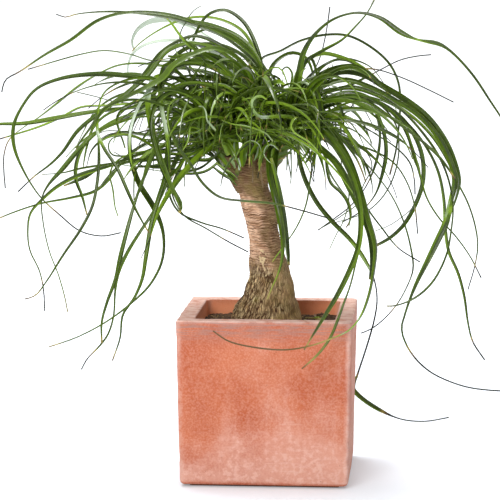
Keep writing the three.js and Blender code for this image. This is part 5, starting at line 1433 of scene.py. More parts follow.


# %% [markdown]
# ## What each leaf does
# Leaves differ in how they end. Some keep their width and stop short, and others draw out into a long
# dead hair. A leaf that turns its edge to the viewer looks narrow there. The traced leaves that show
# such things plainly have a row in the table below. So have four leaves by rule that hang before the
# stem, which are kept narrow. All the others draw their habits at random.

# %% Leaf habits
# A row for each such leaf: its name, and its tone, from -1, very dark, to 2, nearly white; a tone
# above 1.2 is a painted sheen. Then its width at shares of its length, and how dry it is there:
# 0 green, 0.5 straw, 1 brown, 1.6 dark hair.
HABITS = {name: habit for name, *habit in read_table("""
* left 0 | 0 | 0.25 5, 0.34 8, 0.42 6, 0.5 4.3, 0.57 3.8, 0.64 5.7, 0.72 3, 0.78 2, 1 1.9 | 0.8 0, 0.86 1.6
* left 1 | 0 -0.2, 0.38 0.3, 0.44 1.2, 0.5 1.2, 0.56 -0.1, 1 0 | 0.15 4.6, 0.3 4, 0.4 2.2, 0.52 2.4,
  0.57 4.8, 0.75 6, 0.85 4.4, 0.93 2.6, 1 1.7 | 0.94 0, 1 1.2
* left 2 | 0.1 | 0.4 6.5, 0.6 8, 0.7 8, 0.8 6, 0.88 4.4, 1 3 | 0.97 0, 1 0.8
* left 3 | 0.2 | 0.3 4.6, 0.6 6, 0.75 5.6, 0.85 4.3, 0.93 2.8, 1 1.7 | 0.93 0, 0.95 1.4
* left 4 | 0.1 | 0.3 7.6, 0.55 7.4, 0.63 3, 0.67 2.2, 1 1.9 | 0.9 0, 1 0.4
* left 5 | 0.2 | 0.3 6.4, 0.5 6.4, 0.62 4.6, 0.7 3.4, 0.8 2.8, 0.9 2.2, 1 1.7 | 0.9 0, 0.92 1.4
* left 6 | -0.4 | 0.9 5.9, 1 2 | 0.96 0, 1 0.6
* left 7 | 0.2 | 0.4 6, 0.6 5, 0.8 2.8, 1 2 | 0.94 0, 1 1
* left 8 | 0 -0.2, 0.56 0, 0.59 1.7, 0.63 1.7, 0.67 -0.3, 1 0 | 0.2 4.6, 0.44 3.6, 0.5 2.4, 0.57 2,
  0.6 4.5, 0.64 5.6, 0.85 4.8, 0.93 3, 1 1.8 | 0.97 0, 1 1
* left 9 | 0 | 0.6 7.8, 0.7 6.4, 0.8 4.3, 0.9 2.8, 1 1.6 | 0.95 0, 1 1
* left 10 | 0 | 0.3 5, 0.54 5.2, 0.6 6.6, 0.72 6.8, 0.8 5.4, 0.9 3.6, 1 2.6 | 0.97 0, 1 0.8
* left 11 | 0.1 | 0.6 5.7, 0.7 3.1, 0.9 3, 0.95 1.2, 1 0.9 | 0.9 0, 0.95 1.3
* left 12 | -0.5 | 0.9 6, 1 4 | 0.98 0, 1 0.5
* left 13 | 0 -0.6, 0.71 -0.8, 0.75 0.4, 0.81 0.4, 0.84 -0.4, 1 -0.4 | 0.1 3, 0.28 3.5, 0.42 6, 0.55 4,
  0.7 3.6, 0.74 4.4, 0.83 4.4, 0.87 2.2, 1 1.9 | 0.86 0, 0.88 1.4
* left 14 | -0.5 | 0.4 4.5, 0.5 3.4, 1 1.6 | 0.9 0, 0.93 1.4
* left 15 | -0.4 | 0.3 5, 0.42 3.6, 0.6 2.4, 1 1.9 | 0.84 0, 0.86 1.4
* left 21 | 0.1 | 0.3 6, 0.4 5, 0.8 6, 0.93 4, 1 2 | 0.97 0, 1 0.8
* centre 0 | 0.1 | 0.7 7.1, 0.8 5.7, 0.87 3.6, 0.93 2.2, 1 1.7 | 0.87 0, 0.91 0.6, 0.95 1.5
* centre 1 | 0 | 0.6 7.1, 0.7 5.7, 0.8 4.3, 0.88 3, 0.94 1.9, 1 1.7 | 0.91 0, 0.95 0.6, 0.98 1.4
* centre 2 | 0.3 | 0.5 4.3, 0.6 2.8, 0.9 2.6, 1 0.9 | 0.93 0, 1 1.6
* centre 3 | 0.5 | 0.3 5.5, 0.48 4, 0.56 4.5, 0.63 8, 0.69 8, 0.76 3.4, 0.84 2.4, 1 1.7 | 0.82 0, 0.92 1.3
* centre 4 | -0.2 | 0.5 9.4, 0.6 8.4, 0.7 6.4, 0.8 5, 0.93 2, 1 1.2 | 0.92 0, 0.97 1.5
* centre 5 | -0.2 | 0.42 8, 0.5 10.5, 0.57 10.5, 0.61 7, 0.65 4.4, 0.72 3.8, 0.85 3.4, 1 1.8 | 0.96 0,
  1 0.8
* centre 6 | -0.6 | 0.5 6, 0.8 4, 1 1.4 | 0.95 0, 1 1
* centre 7 | 0.9 | 0.5 5, 0.8 4.3, 1 1.2 | 0.97 0, 1 0.6
* centre 8 | 2 | 0.6 4, 0.7 6, 0.8 9.6, 0.9 6.5, 1 2.5 | 0.98 0, 1 0.3
* centre 9 | -0.5 | 0.6 7.4, 0.8 5, 1 1.4 | 0.96 0, 1 1
* centre 12 | 0.2 | 0.9 6.4, 1 4 | 0.98 0, 1 0.5
* centre 14 | -0.7 | 0.6 3.8, 1 2.6 | 0.95 0, 1 1.2
* right 0 | 0 0, 0.6 0, 0.62 1.4, 0.64 0.3, 0.7 -0.5, 1 -0.4 | 0.08 10, 0.2 10, 0.3 6.4, 0.42 3.8, 0.48 5,
  0.54 8, 0.58 8.5, 0.605 4.3, 0.62 2.3, 0.65 6.4, 0.67 7, 0.69 4, 0.74 3.6, 0.82 3.6, 1 2.6 | 0.98 0,
  1 0.2
* right 1 | 0.1 | 0.3 6.4, 0.5 5.7, 0.7 3, 1 1.7 | 0.93 0, 1 1.4
* right 2 | -0.2 | 0.3 4, 0.5 1.8, 1 0.9 | 0.45 0, 0.55 1.6
* right 5 | 0 | 0.65 4.5, 0.75 1.5, 1 0.8 | 0.7 0, 0.76 1.6
* right 6 | -0.2 | 0.5 4.3, 0.6 2.1, 1 1.2 | 0.55 0, 0.65 1.5
* right 7 | -0.4 | 0.1 7, 0.5 9, 0.7 8, 0.8 6.8, 0.9 4.4, 1 1.5 | 0.96 0, 1 0.9
* right 8 | 0 -0.1, 0.48 0, 0.51 1.4, 0.54 0.2, 1 0 | 0.3 7, 0.46 9, 0.5 7, 0.54 10.5, 0.6 9, 0.67 5.7,
  0.71 3.6, 0.8 3, 0.88 2.1, 1 2 | 0.78 0, 0.82 1.4
* right 9 | 0.1 | 0.5 5, 0.7 2.6, 0.9 2.2, 1 1 | 0.9 0, 0.93 1.5
* right 10 | 0 | 0.5 5, 0.7 2.6, 0.9 2, 1 0.9 | 0.95 0, 0.97 1.5
* right 11 | -0.4 | 0.5 4.6, 0.7 2.4, 0.82 3, 0.93 3.8, 0.97 2.4, 1 1.9 | 0.97 0, 1 0.4
* right 12 | 0.1 | 0.3 8, 0.6 7.1, 0.9 6, 1 4.6 | 0.98 0, 1 0.6
* right 13 | -0.2 | 0.5 5.4, 0.85 4.6, 0.92 1.4, 1 0.9 | 0.88 0, 0.93 1.6
* right 14 | -0.2 | 0.5 5.6, 0.7 4, 0.76 1.4, 1 0.8 | 0.72 0, 0.78 1.6
* right 15 | 0 | 0.7 5.9, 0.8 2.8, 0.88 1.3, 1 0.8 | 0.84 0, 0.9 1.6
* right 16 | -0.7 | 0.4 3.8, 0.6 3.4, 0.9 4, 1 2 | 0.95 0, 1 1.4
* right 17 | -0.6 | 0.2 4, 0.3 2.9, 0.6 3, 0.85 3, 0.92 1.4, 1 1.2 | 0.88 0, 0.93 1.6
* right 18 | 0.1 | 0.3 3.8, 0.5 3.2, 0.7 2.6, 0.9 2.4, 1 1.2 | 0.86 0, 0.9 0.9, 0.95 1.4
* right 19 | 0 -0.1, 0.62 -0.2, 0.66 1.3, 0.69 1.3, 0.72 0, 1 0 | 0.2 10, 0.42 11, 0.48 10, 0.52 8,
  0.56 6.8, 0.6 6.2, 0.63 5, 0.67 2.6, 1 2 | 0.68 0, 0.72 0.4, 0.8 0.9, 1 1.1
* right 20 | 0 | 0.3 7.4, 0.8 7.2, 0.92 4.4, 1 1.6 | 0.9 0, 0.96 0.2, 1 0.9
* right 21 | -0.1 | 0.3 5, 0.55 4, 0.64 2.7, 0.72 3, 0.82 5, 0.95 4, 1 1.6 | 0.5 0, 0.68 0.12, 0.8 0.1,
  0.94 0.25, 1 1
* right 22 | -0.2 | 0.3 9.5, 0.75 13, 0.88 12, 0.95 8, 1 4 | 0.97 0, 1 0.3
* right 23 | 0 0, 0.34 0, 0.37 1, 0.43 1, 0.46 0, 0.75 0.6, 1 0.2 | 0.2 7, 0.36 6.5, 0.41 6.5, 0.44 4,
  0.47 2.2, 0.6 2.9, 0.71 2.6, 0.75 7, 0.83 7.1, 0.87 2, 1 1.8 | 0.44 0, 0.46 1.6, 0.7 1.6, 0.72 0, 0.83 0,
  0.86 1.5
* right 24 | 0 -0.2, 0.6 -0.1, 0.9 0.6, 1 0.8 | 0.2 6, 0.45 4.5, 0.55 3, 0.7 2.6, 0.8 2.2, 1 2 | 0.97 0,
  1 0.4
* right 25 | -0.4 | 0.12 5, 0.3 9.5, 0.6 12.5, 0.8 12.5, 0.9 11, 1 4 | 0.97 0, 1 1
* right 26 | 0 -0.2, 0.65 -0.2, 0.85 0.4, 1 1 | 0.12 4.5, 0.3 8, 0.6 8.6, 0.7 6, 0.78 3.8, 0.88 2.4, 1 2 |
  0.78 0, 0.9 0.2, 1 0.4
* right 27 | 0 | 0.3 4.6, 0.42 3, 0.85 2.7, 1 1.9 | 0.84 0, 0.9 1.5
* right 28 | 0 | 0.5 5, 0.7 2.8, 0.83 2.4, 0.88 1.2, 1 0.8 | 0.85 0, 0.87 1.5
* right 29 | 0.1 | 0.5 5, 0.7 5, 0.85 4.3, 0.93 3, 1 2.4 | 0.93 0, 0.95 1.4
* right 30 | 0.2 | 0.5 4.4, 0.9 2.6, 1 1.4 | 0.8 0, 0.88 0.5, 1 0.8
* right 31 | 0.2 | 0.5 4.4, 0.9 2.6, 1 1.4 | 0.8 0, 0.88 0.5, 1 0.8
* centre rule 2 | -0.3 | 0.2 4, 0.35 2.4, 1 1.9 | 0.93 0, 1 1
* centre rule 18 | -0.7 | 0.5 4.6, 0.8 3, 1 1.9 | 0.95 0, 1 0.2
* centre rule 20 | -0.9 | 0.4 4, 0.6 2.2, 1 1.9 | 0.6 0, 0.7 1
* right rule 20 | -0.8 | 0.4 4, 0.6 2.2, 1 1.9 | 0.6 0, 0.7 1
""")}
HAIR = 1.9
print(len(HABITS), "leaves have a row of their own")


def drawn_habit(leaf, t, rng, finest):
    """Tone, width and dryness of a leaf that has no row in the table. It tapers as one less a power
    of t, and now and then it ends in a straw-coloured tip and a hair."""
    body = rng.choice([1.0, 0.93, 0.85], p=[0.65, 0.2, 0.15])
    power = rng.uniform(2.2, 5)
    width = leaf["width"] * (1 - np.minimum(t / body, 1) ** power) ** 0.9
    start = body - rng.choice([0.01, 0.05, 0.12], p=[0.8, 0.12, 0.08])
    dry = np.interp(t, [start, body + 0.01], [0, 1.6 if body < 1 else rng.choice([0.05, 0.35])])
    return rng.uniform(-1, 1.0), np.maximum(width, finest * (1.4 - 0.8 * t)), dry


def shaded_tone(tone, section, t, rng):
    """Tone for each point: the leaf's own, a slow sine along it, and painted shade that makes one half
    darker than the other, because the two halves of a gutter never face the light alike."""
    own = np.interp(t, *tone) if np.ndim(tone) else np.full(len(t), tone)
    drift = rng.uniform(0.1, 0.35) * np.sin(t * rng.uniform(4, 12) + rng.uniform(0, 6.3))
    # Painted shade: one half of the gutter darker than the other.
    sides = np.sign(np.concatenate([section, section[::-1]])) * rng.choice([-1, 1])
    sides = sides * rng.uniform(0.2, 0.7)
    return (own + drift * (own < 1))[:, None] + sides * (own < 1.2)[:, None]


def grown_blade(leaf, rng, section=BROAD, step=BLADE_STEP, finest=HAIR):
    """A placed leaf as a fine blade with its own gutter, twist, width, tone and dry end."""
    rough = np.linalg.norm(np.diff(leaf["points"], axis=0), axis=1).sum()
    line = even_points(leaf["route"], int(np.clip(rough / step, 9, 90)))
    t = np.linspace(0, 1, len(line))
    known = HABITS.get(leaf.get("name"))
    tone, width, dry = drawn_habit(leaf, t, rng, finest)
    if known:
        tone, width, dry = known[0], *(np.interp(t, *pairs) for pairs in known[1:])
        width = np.maximum(smooth_along(width, 1), HAIR)
    root = 0.75 + 0.25 * np.minimum(t / 0.12, 1)
    twist = rng.uniform(0.2, 0.7) if known else rng.uniform(0.05, 0.9)
    rings = blade_surface(line, width * root, leaf["face"], section, gutter=rng.uniform(0.45, 1.1),
                          twist=twist, phase=rng.uniform(0, 6.3))
    tones = shaded_tone(tone, section, t, rng)
    return rings, section, tones - 0.35 * (tones < 1) * bool(known), dry


# %% [markdown]
# ## Back onto the picture
# The traced points were read off as if the picture plane stood square to the line of sight. The
# camera looks down and sideways a little, so far from the middle of the picture a leaf would be seen
# up to 4 mm from its line. Each traced leaf is moved by that much, and its root stays where it is.

# %% Lines of sight
AHEAD = unit(AIM - VIEWPOINT)
RIGHTWARDS = unit(np.cross(AHEAD, [0.0, 0.0, 1.0]))
UPWARDS = np.cross(RIGHTWARDS, AHEAD)
FRAME_SCALE = np.array([1.4204, 1.4270])
TURNED = 0.0091


def sight_point(right, up, depth):
    """The points, at depths behind the front-view plane, that are seen so many picture steps to the
    right of the picture's middle and so many above it."""
    sight = AHEAD + np.outer(right / ZOOM, RIGHTWARDS) + np.outer(up / ZOOM, UPWARDS)
    return VIEWPOINT + sight * ((depth - VIEWPOINT[1]) / sight[:, 1])[:, None]


def onto_sight_lines(points):
    """Each point's place in the picture by the even scale, then the point at the same depth on the
    true line of sight through that place."""
    seen = front_view(points)
    right = (seen[:, 0] - AIM[0]) / FRAME_SCALE[0]
    up = (seen[:, 2] - AIM[2] - TURNED * (seen[:, 0] - AIM[0])) / FRAME_SCALE[1]
    share = fade(np.linalg.norm(points - points[0], axis=1), 5, 70)[:, None]
    return points + (sight_point(right, up, points[:, 1]) - points) * share


# %% Grow the leaves of each head
CROWNS = {"left": "crown_left", "centre": "crown_centre", "right": "crown_right"}
TRACED_FACE = np.array([0.12, -0.82, 0.56])
rng = np.random.default_rng(8)
for leaf in leaves:
    if "rule" not in leaf["name"]:
        leaf["face"] = unit(TRACED_FACE + rng.normal(0, 0.22, 3))
        leaf["route"] = onto_sight_lines(even_points(leaf["route"], 60))
for head, crown in CROWNS.items():
    blades = [grown_blade(leaf, rng) for leaf in leaves if leaf["head"] == head]
    join_blades("leaves_" + head, blades, replaces=[crown])

# %% [markdown]
# ## Young leaves
# Between the long leaves stands a thicket of young ones, short and curly, which hides the growing
# points. They follow the same rule with shorter lengths and stronger curls. There are hundreds, so
# each has a narrow section of few faces.

# %% Young leaves
YOUNG = {"left": 210, "centre": 190, "right": 140}
YOUNG_FLOOR = 447.0
YOUNG_STEP = 11.0
STEM_LEFT, STEM_RIGHT, STEM_TOP = 222, 335, 144


def curly_route(core, rng):
    """A short route whose pitch falls along its length and swings to and fro, as its heading does."""
    steps = 20
    t = (np.arange(steps) + 0.5) / steps
    heading, climb = rng.uniform(0, 2 * np.pi), rng.uniform(-0.2, 1.5)
    swing, turn = rng.normal(0, 0.7, 2)
    pitch = climb - rng.uniform(0.2, 3.8) * t + swing * np.sin(t * rng.uniform(2, 8))
    way = heading + rng.normal(0, 1.7) * t + turn * np.sin(t * rng.uniform(2, 8))
    root = root_of(core, rng.uniform(0.1, 1.0), heading)
    path = np.cumsum(step_ahead(way, pitch), axis=0) * rng.uniform(45, 190) / steps
    line = root + np.vstack([[0, 0, 0], path])
    return line, even_points(line, 6), heading


def before_the_stem(points):
    """Whether any point is seen low down over the stem or just right of it, where the photograph
    shows bark and white."""
    from_eye = points - VIEWPOINT
    zoom = ZOOM / (from_eye @ AHEAD)
    across, down = MIDDLE + from_eye @ RIGHTWARDS * zoom, MIDDLE - from_eye @ UPWARDS * zoom
    return bool(((across > STEM_LEFT) & (across < STEM_RIGHT) & (down > STEM_TOP)).any())


def young_leaves(head, count, seed):
    """Short leaves on curly routes, kept inside the crown and off the pot, trunk and arms."""
    rng = np.random.default_rng(seed)
    core = core_of(head)
    made = []
    while len(made) < count:
        route, points, heading = curly_route(core, rng)
        lean = rng.uniform(0.2, 1.2) * rng.choice([-1, 1])
        leaf = {"points": points, "route": route, "width": rng.uniform(2.2, 6.4), "head": head,
                "face": leaning_face(heading, lean)}
        hangs = route[:, 2].min() < YOUNG_FLOOR or before_the_stem(route)
        if not hangs and inside_lobes(points) and misses_the_rest(leaf):
            made.append(grown_blade(leaf, rng, NARROW, YOUNG_STEP, 0.6))
    return made


# %% [markdown]
# ## Leaves and curls that stand out
# More leaves catch the eye in the photograph: arcs between the long leaves, pale curls, upright tips,
# and broad green bases on top of the stem. They were picked out, point by point, on the picture. Each
# point is put on its line of sight, at a depth that runs evenly from the root's to the tip's.

# %% Leaves that stand out
# A row for each: tone, depth at the root, depth at the tip, widths at shares of its length, and the
# route as "across down" places in the picture, in its steps. A tone above 1.2 is a painted sheen, as
# on the pale curls. One number for the widths is a plain taper from that width.
STANDOUTS = read_table("""
* -0.35 | -10 | -110 | 0 5, 0.3 9, 0.6 12.5, 0.75 9, 0.9 4, 1 1.6 | 262 116, 257 86, 246 67, 233 54.5,
  220 48.5, 207 49, 195 53, 184 58, 172 66, 163 77, 150 85, 135 92.5, 118 101, 106 108, 97 118, 88 131,
  80 142, 76 150
* 0.2 | 0 | -60 | 0 4, 0.4 7, 0.8 6, 1 3 | 262 125, 250 96, 240 84, 228 76, 215 69, 202 64.5, 190 63.5,
  180 65, 170 70, 163 77, 158 86
* -0.5 | 10 | -20 | 0 5, 0.4 9, 0.8 8, 1 3 | 264 115, 252 88, 243 76, 232 66, 220 59, 208 55, 197 54,
  186 55, 176 57, 168 56
* 0 | -10 | -60 | 0 4, 0.5 5.5, 0.8 5, 1 2 | 250 125, 243 106, 233 96, 220 89, 205 84, 190 83, 176 86,
  166 92, 160 100
* -0.2 | 20 | 60 | 0 5, 0.4 7, 0.7 6, 0.9 4, 1 1.4 | 266 112, 262 70, 254 52, 243 40, 232 33, 220 28,
  207 24, 195 22, 183 19, 170 15.5, 158 13.5, 148 14.5
* 0.5 | 0 | -50 | 0 4, 0.4 6, 0.75 8, 0.9 6, 1 2 | 258 114, 240 84, 218 63, 200 52, 188 43, 179 32, 173 24,
  167 18
* -0.8 | 30 | 60 | 0 2, 0.5 1.6, 0.75 1.8, 1 1 | 255 112, 225 75, 192 56, 180 42, 181 31, 186 22, 190 15,
  195 9.5, 201 6
* 0 -0.7, 0.6 -0.6, 0.68 1.6, 0.8 1.7, 0.9 0, 1 -0.3 | -10 | -100 | 0 3, 0.2 5, 0.4 7, 0.6 6, 0.85 5, 1 3 |
  235 130, 205 98, 180 74, 167 64, 161.5 74, 160 92, 162 110, 166 130, 169 150, 170 172
* 0 0, 0.36 0, 0.42 1.8, 0.5 1.8, 0.56 0.2, 1 0.3 | -15 | -130 | 0 3, 0.25 6, 0.5 7.5, 0.8 8, 0.92 6, 1 2 |
  235 128, 205 98, 175 78, 158 76, 150.5 84, 148 97, 148.5 112, 152 130, 157 148, 162 163, 168 178,
  174 192, 180 208
* 0 0, 0.3 0.2, 0.42 1.6, 0.75 1.9, 0.9 1.2, 1 -0.2 | -15 | -150 | 0 2.5, 0.3 2.6, 0.5 4, 0.75 4, 0.9 3.4,
  1 2 | 232 130, 200 100, 170 88, 150 90, 140 104, 134 117, 130.5 130, 129.5 143, 130.5 157, 134 171
* 0.4 | -10 | -60 | 0 3, 0.4 5, 0.8 5.5, 1 2 | 222 142, 190 154, 160 151, 148 143, 135 136, 122 134,
  110 136.5, 101 141
* -0.6 | 0 | -40 | 0 2, 0.6 2.4, 1 1.2 | 220 138, 180 130, 150 130, 135 133, 120 131, 105 131, 98 134
* -0.5 | 10 | -30 | 0 2, 0.6 2.6, 0.9 2, 1 1.2 | 222 144, 190 150, 160 152, 140 154.5, 125 156, 113 155,
  109 150, 109 143, 113 138, 121 136
* 0 | 0 | -40 | 0 2, 0.5 4, 0.8 4, 1 2 | 225 132, 190 104, 160 100, 135 106, 120 112, 117 120, 119 130,
  123 141, 125 148
* 0.1 | 20 | -20 | 0 2.5, 0.5 3.5, 0.85 4, 0.95 2.4, 1 1.2 | 222 136, 175 110, 130 107, 106 115, 93 128,
  88 142, 85 155, 83 168
* -0.3 | -20 | -80 | 0 3, 0.5 3, 0.8 3, 1 1.2 | 222 146, 180 160, 145 159, 124 163, 113 171, 105 180,
  99 188
* -0.2 | -20 | -80 | 0 3, 0.5 5, 0.85 6, 1 3 | 224 146, 190 142, 166 145, 155 153, 149 164, 145 175,
  143 182
* -0.5 | 0 | -60 | 0 3, 0.5 3.5, 0.8 3, 0.92 1.5, 1 1.1 | 222 148, 180 157, 143 161, 113 163.5, 95 166,
  80 168.5, 62 173, 42 174.5
* -0.9 | 10 | 40 | 0 2, 0.4 1.5, 1 1.1 | 222 134, 185 112, 151 103, 130 103, 112 101, 98 97, 86 94, 77 92
* -0.4 | 0 | -50 | 0 3, 0.5 5, 0.8 5, 1 2 | 226 132, 200 112, 176 101, 155 98, 138 101, 124 107, 112 113
* -0.8 | 20 | 0 | 0 2, 0.6 2, 1 1.1 | 222 146, 190 158, 160 168, 140 165, 125 158, 114 152
* -0.6 | -20 | -70 | 0 3, 0.5 4.5, 0.85 4, 1 2 | 226 146, 200 168, 180 171, 165 167, 148 166, 135 167
* 0.2 | -20 | -80 | 0 3, 0.5 4, 0.85 4, 1 1.4 | 226 142, 205 148, 186 158, 176 170, 168 178, 160 180
* -0.7 | 10 | -10 | 0 3, 0.5 5, 0.85 4, 1 2 | 228 126, 205 100, 190 92, 178 92, 168 98, 162 108, 158 122
* 0 0, 0.8 0.6, 1 0.6 | 0 | -60 | 0 2, 0.5 2.4, 0.85 2.4, 0.95 1.8, 1 1.6 | 222 144, 180 150, 140 152,
  118 160, 110 173, 113 190, 115 207, 118 216
* -0.6 | 0 | -50 | 0 2, 0.6 3, 1 1.6 | 222 146, 180 146, 150 155, 136 170, 134 184, 134 200
* -0.3 | -10 | -70 | 0 2, 0.6 4.2, 0.9 3.6, 1 1.8 | 224 144, 185 140, 156 150, 147 165, 142 185, 135 200
* 0 0.2, 0.3 1.4, 0.45 1.7, 0.55 0.4, 1 0 | -20 | -110 | 0 3, 0.3 5, 0.7 5.5, 1 3 | 284 122, 289 94,
  297 83, 306 82, 312 90, 316 103, 318 120, 318 135, 316 150, 314 164
* 0.1 | -15 | -95 | 0 3, 0.4 6, 0.8 5, 1 2 | 280 120, 292 96, 302 88.5, 308 96, 311 108, 313 122,
  313.5 138, 312 152
* -0.6 | -10 | -90 | 0 3, 0.4 6, 0.8 5, 1 2 | 290 118, 300 88, 308 80.5, 316 90, 321 105, 322 122, 320 140,
  318 152
* -0.7 | -5 | -40 | 0 3, 0.3 8, 0.7 9, 0.9 5, 1 2 | 292 118, 304 92, 318 77, 330 70.5, 345 67, 356 67.5,
  367 73, 378 82, 388 93
* -0.5 | 0 | 20 | 0 3, 0.4 4.5, 0.8 4, 1 1.4 | 294 122, 308 117, 322 104, 335 97.5, 350 96.5, 362 99,
  376 106, 388 114
* -0.8 | 10 | 60 | 0 2.5, 0.4 3.5, 0.8 2.8, 1 1.2 | 296 126, 311 121, 325 118, 345 118.5, 355 121, 365 128,
  378 134.5
* -0.7 | 0 | 20 | 0 2, 0.5 1.8, 1 1.2 | 298 128, 315 122, 330 118, 343 115, 350 108, 357 102, 362 106,
  368 116, 376 131
* -0.6 | 10 | 80 | 0 3, 0.4 3, 0.65 2.4, 0.8 1.7, 1 1.2 | 300 120, 345 92, 380 105, 396 125, 399 145,
  397 165, 391 183, 381 199, 366 212, 348 219, 332 223
* -0.4 | -10 | -40 | 0 2.5, 0.5 2.2, 0.8 1.6, 1 1.2 | 300 126, 322 125, 338 140, 346 158, 348.5 175,
  349 192, 348 206, 343 222, 337 233, 329.5 249
* -0.8 | 20 | 60 | 0 2, 0.4 1.8, 1 1.1 | 300 126, 335 130, 365 150, 372 166, 363 186, 357 204, 345 213,
  333 221, 319 229
* -0.8 | 30 | 100 | 0 2, 0.5 1.6, 1 1.1 | 300 124, 350 120, 395 135, 417 160, 420 190, 412 208, 403 216,
  390 225, 375 231
* 0.3 | -30 | -70 | 0 3, 0.5 5, 0.85 4.5, 1 2 | 292 136, 303 139, 311 144, 313 150, 309 158, 305.5 163
* 0 | -25 | -60 | 0 3, 0.5 4, 0.85 3.5, 1 1.4 | 288 136, 298 138, 307 143, 309 149, 305 156, 301.5 162
* -0.2 | -20 | -70 | 0 3, 0.4 4, 0.75 5.5, 0.9 4, 1 1.4 | 298 128, 312 136, 322 148, 326 160, 327.5 172,
  331 183, 341 192.5, 347 201, 350.5 214, 349 226
* 0.5 | -15 | -60 | 0 3, 0.4 6, 0.8 5, 1 1.4 | 296 124, 310 112, 325 112, 342 125, 354 143, 362 160,
  366 176
* -0.9 | -20 | -60 | 0 3, 0.4 7, 0.8 7, 1 3 | 262 118, 262 108, 272 103.5, 288 104, 302 107.5, 313 115,
  320 128, 325 142
* 0.3 | -25 | -70 | 0 3, 0.4 5, 0.8 5, 1 2 | 258 122, 262 112, 272 108, 287 109, 300 113, 310 119, 318 128
* -0.3 | -100 | -90 | 0 4, 0.3 6.5, 0.8 7.5, 1 3 | 271 158, 276 176, 280.5 196, 284.5 216, 287 236,
  288 252, 288 264
* 1.5 | -30 | -38 | 0 3, 0.5 5, 1 2 | 230 158, 233 163, 235 168
* 0.1 | -24 | -32 | 0 3, 0.5 5, 1 1.4 | 216 163, 224 169, 232 174, 238 180
* -0.4 | -20 | -28 | 0 3, 0.5 5, 1 1.4 | 212 166, 221 173, 230 179, 237 186
* 1.9 | -34 | -40 | 0 2, 0.5 4, 1 2 | 238 158, 239.5 164, 239 170
* 0.8 | -30 | -36 | 0 3, 0.5 4.5, 1 2 | 248 154, 252 161, 253 168
* 0.7 | -26 | -42 | 0 5, 0.4 10, 0.75 11, 0.95 5, 1 1.5 | 250 128, 247 140, 244 150, 243 159, 242.5 167
* 0.9 | -24 | -38 | 0 5, 0.5 8, 0.9 4, 1 1.4 | 238 132, 236 144, 235 154, 233 161
* 1 | -22 | -34 | 0 4, 0.4 6, 0.8 5, 1 1.4 | 262 134, 260 145, 258 154, 254 161
* 0.6 | -24 | -36 | 0 5, 0.5 8, 0.85 6, 1 2 | 272 134, 276 144, 274 154, 269 160
* -0.4 | -14 | -26 | 0 4, 0.5 7, 0.9 4, 1 1.4 | 208 150, 216 158, 222 166, 229 174, 235 181
* 0.3 | -20 | -30 | 0 4, 0.5 7, 0.9 4, 1 1.4 | 214 146, 220 155, 226 163, 231 168
* -0.2 | -20 | -32 | 0 4, 0.5 6, 0.9 4, 1 1.4 | 256 140, 252 150, 250 158, 249 164
* 0 0.3, 0.3 0.6, 0.45 1.8, 0.55 1.4, 0.75 1.5, 1 1.2 | -60 | -200 | 0 4, 0.3 5, 0.6 4.4, 0.9 3.2, 1 1.6 |
  291 130, 296 121, 290 117, 280 116, 270 117, 261 117, 256 114, 252.5 108, 252 102, 256 97, 262 96.5,
  266 99
* 0.3 | -60 | -100 | 5.5 | 291 130, 297 119, 305 121, 312 128, 318 138, 322 150
* 0 1.6, 0.4 1.3, 1 0.3 | -120 | -160 | 2.8 | 273 141, 266 133.5, 256 129, 245 126, 232 124, 222 120
* 1.3 | -120 | -150 | 3.2 | 297 117, 293 120, 291 127, 295 133, 301 137, 309 142, 318 151
* 1.1 | -60 | -100 | 2.4 | 279 150, 273 145, 268 145, 264.5 149, 264 155, 268 161, 272 164
* 1 | 10 | -30 | 3.6 | 258 122, 248 100, 242.5 88, 241 80, 244 72, 247 65
* 0.9 | 5 | -25 | 3.6 | 257 118, 251 100, 251.5 83, 255 76, 259.5 69
* 0.8 | 5 | -60 | 4.6 | 266 127, 269 111, 272 101, 276 92
* 1 | 0 | -20 | 2.4 | 229 127, 232 105, 233 88, 234 75, 234 63
* 0.6 | -60 | -130 | 2.2 | 261 122, 263 105, 268 95.5, 275 92, 285 88.5, 297 88, 307 89
* 0.9 | -60 | -100 | 2.4 | 262 152, 258 144, 251 141, 244.5 144, 239 151, 235 160
* 1.6 | -100 | -150 | 3.6 | 216 131, 208 121, 206.5 113, 204 107, 199 106
* 1.2 | -70 | -120 | 2.8 | 203 130, 191 127.5, 189 135, 187 143, 183 150
* 1.3 | -50 | -110 | 2.8 | 214 136, 192 108, 177 99, 170.5 103, 168 112, 168 122, 170 131
* 1.3 | -40 | -80 | 4.2 | 296 126, 312 106, 313.5 91, 308 81, 301.5 76.5, 302 71, 306 68
* 0 -0.6, 0.7 -0.4, 0.85 1.1, 1 1.3 | -60 | -130 | 0 5, 0.3 9, 0.7 9, 0.9 6, 1 3 | 257 120, 255 103,
  262 91.5, 270 84.5, 278 81.5, 284 84
* 1.9 | 40 | 190 | 9 | 255 108, 226 62, 197 44, 172 40, 152 42, 140 47, 131.5 55, 128 66, 128 78
* 0.2 | 20 | 60 | 3.6 | 284 112, 291 84, 292 73, 287 67, 282 70, 283 75
""")


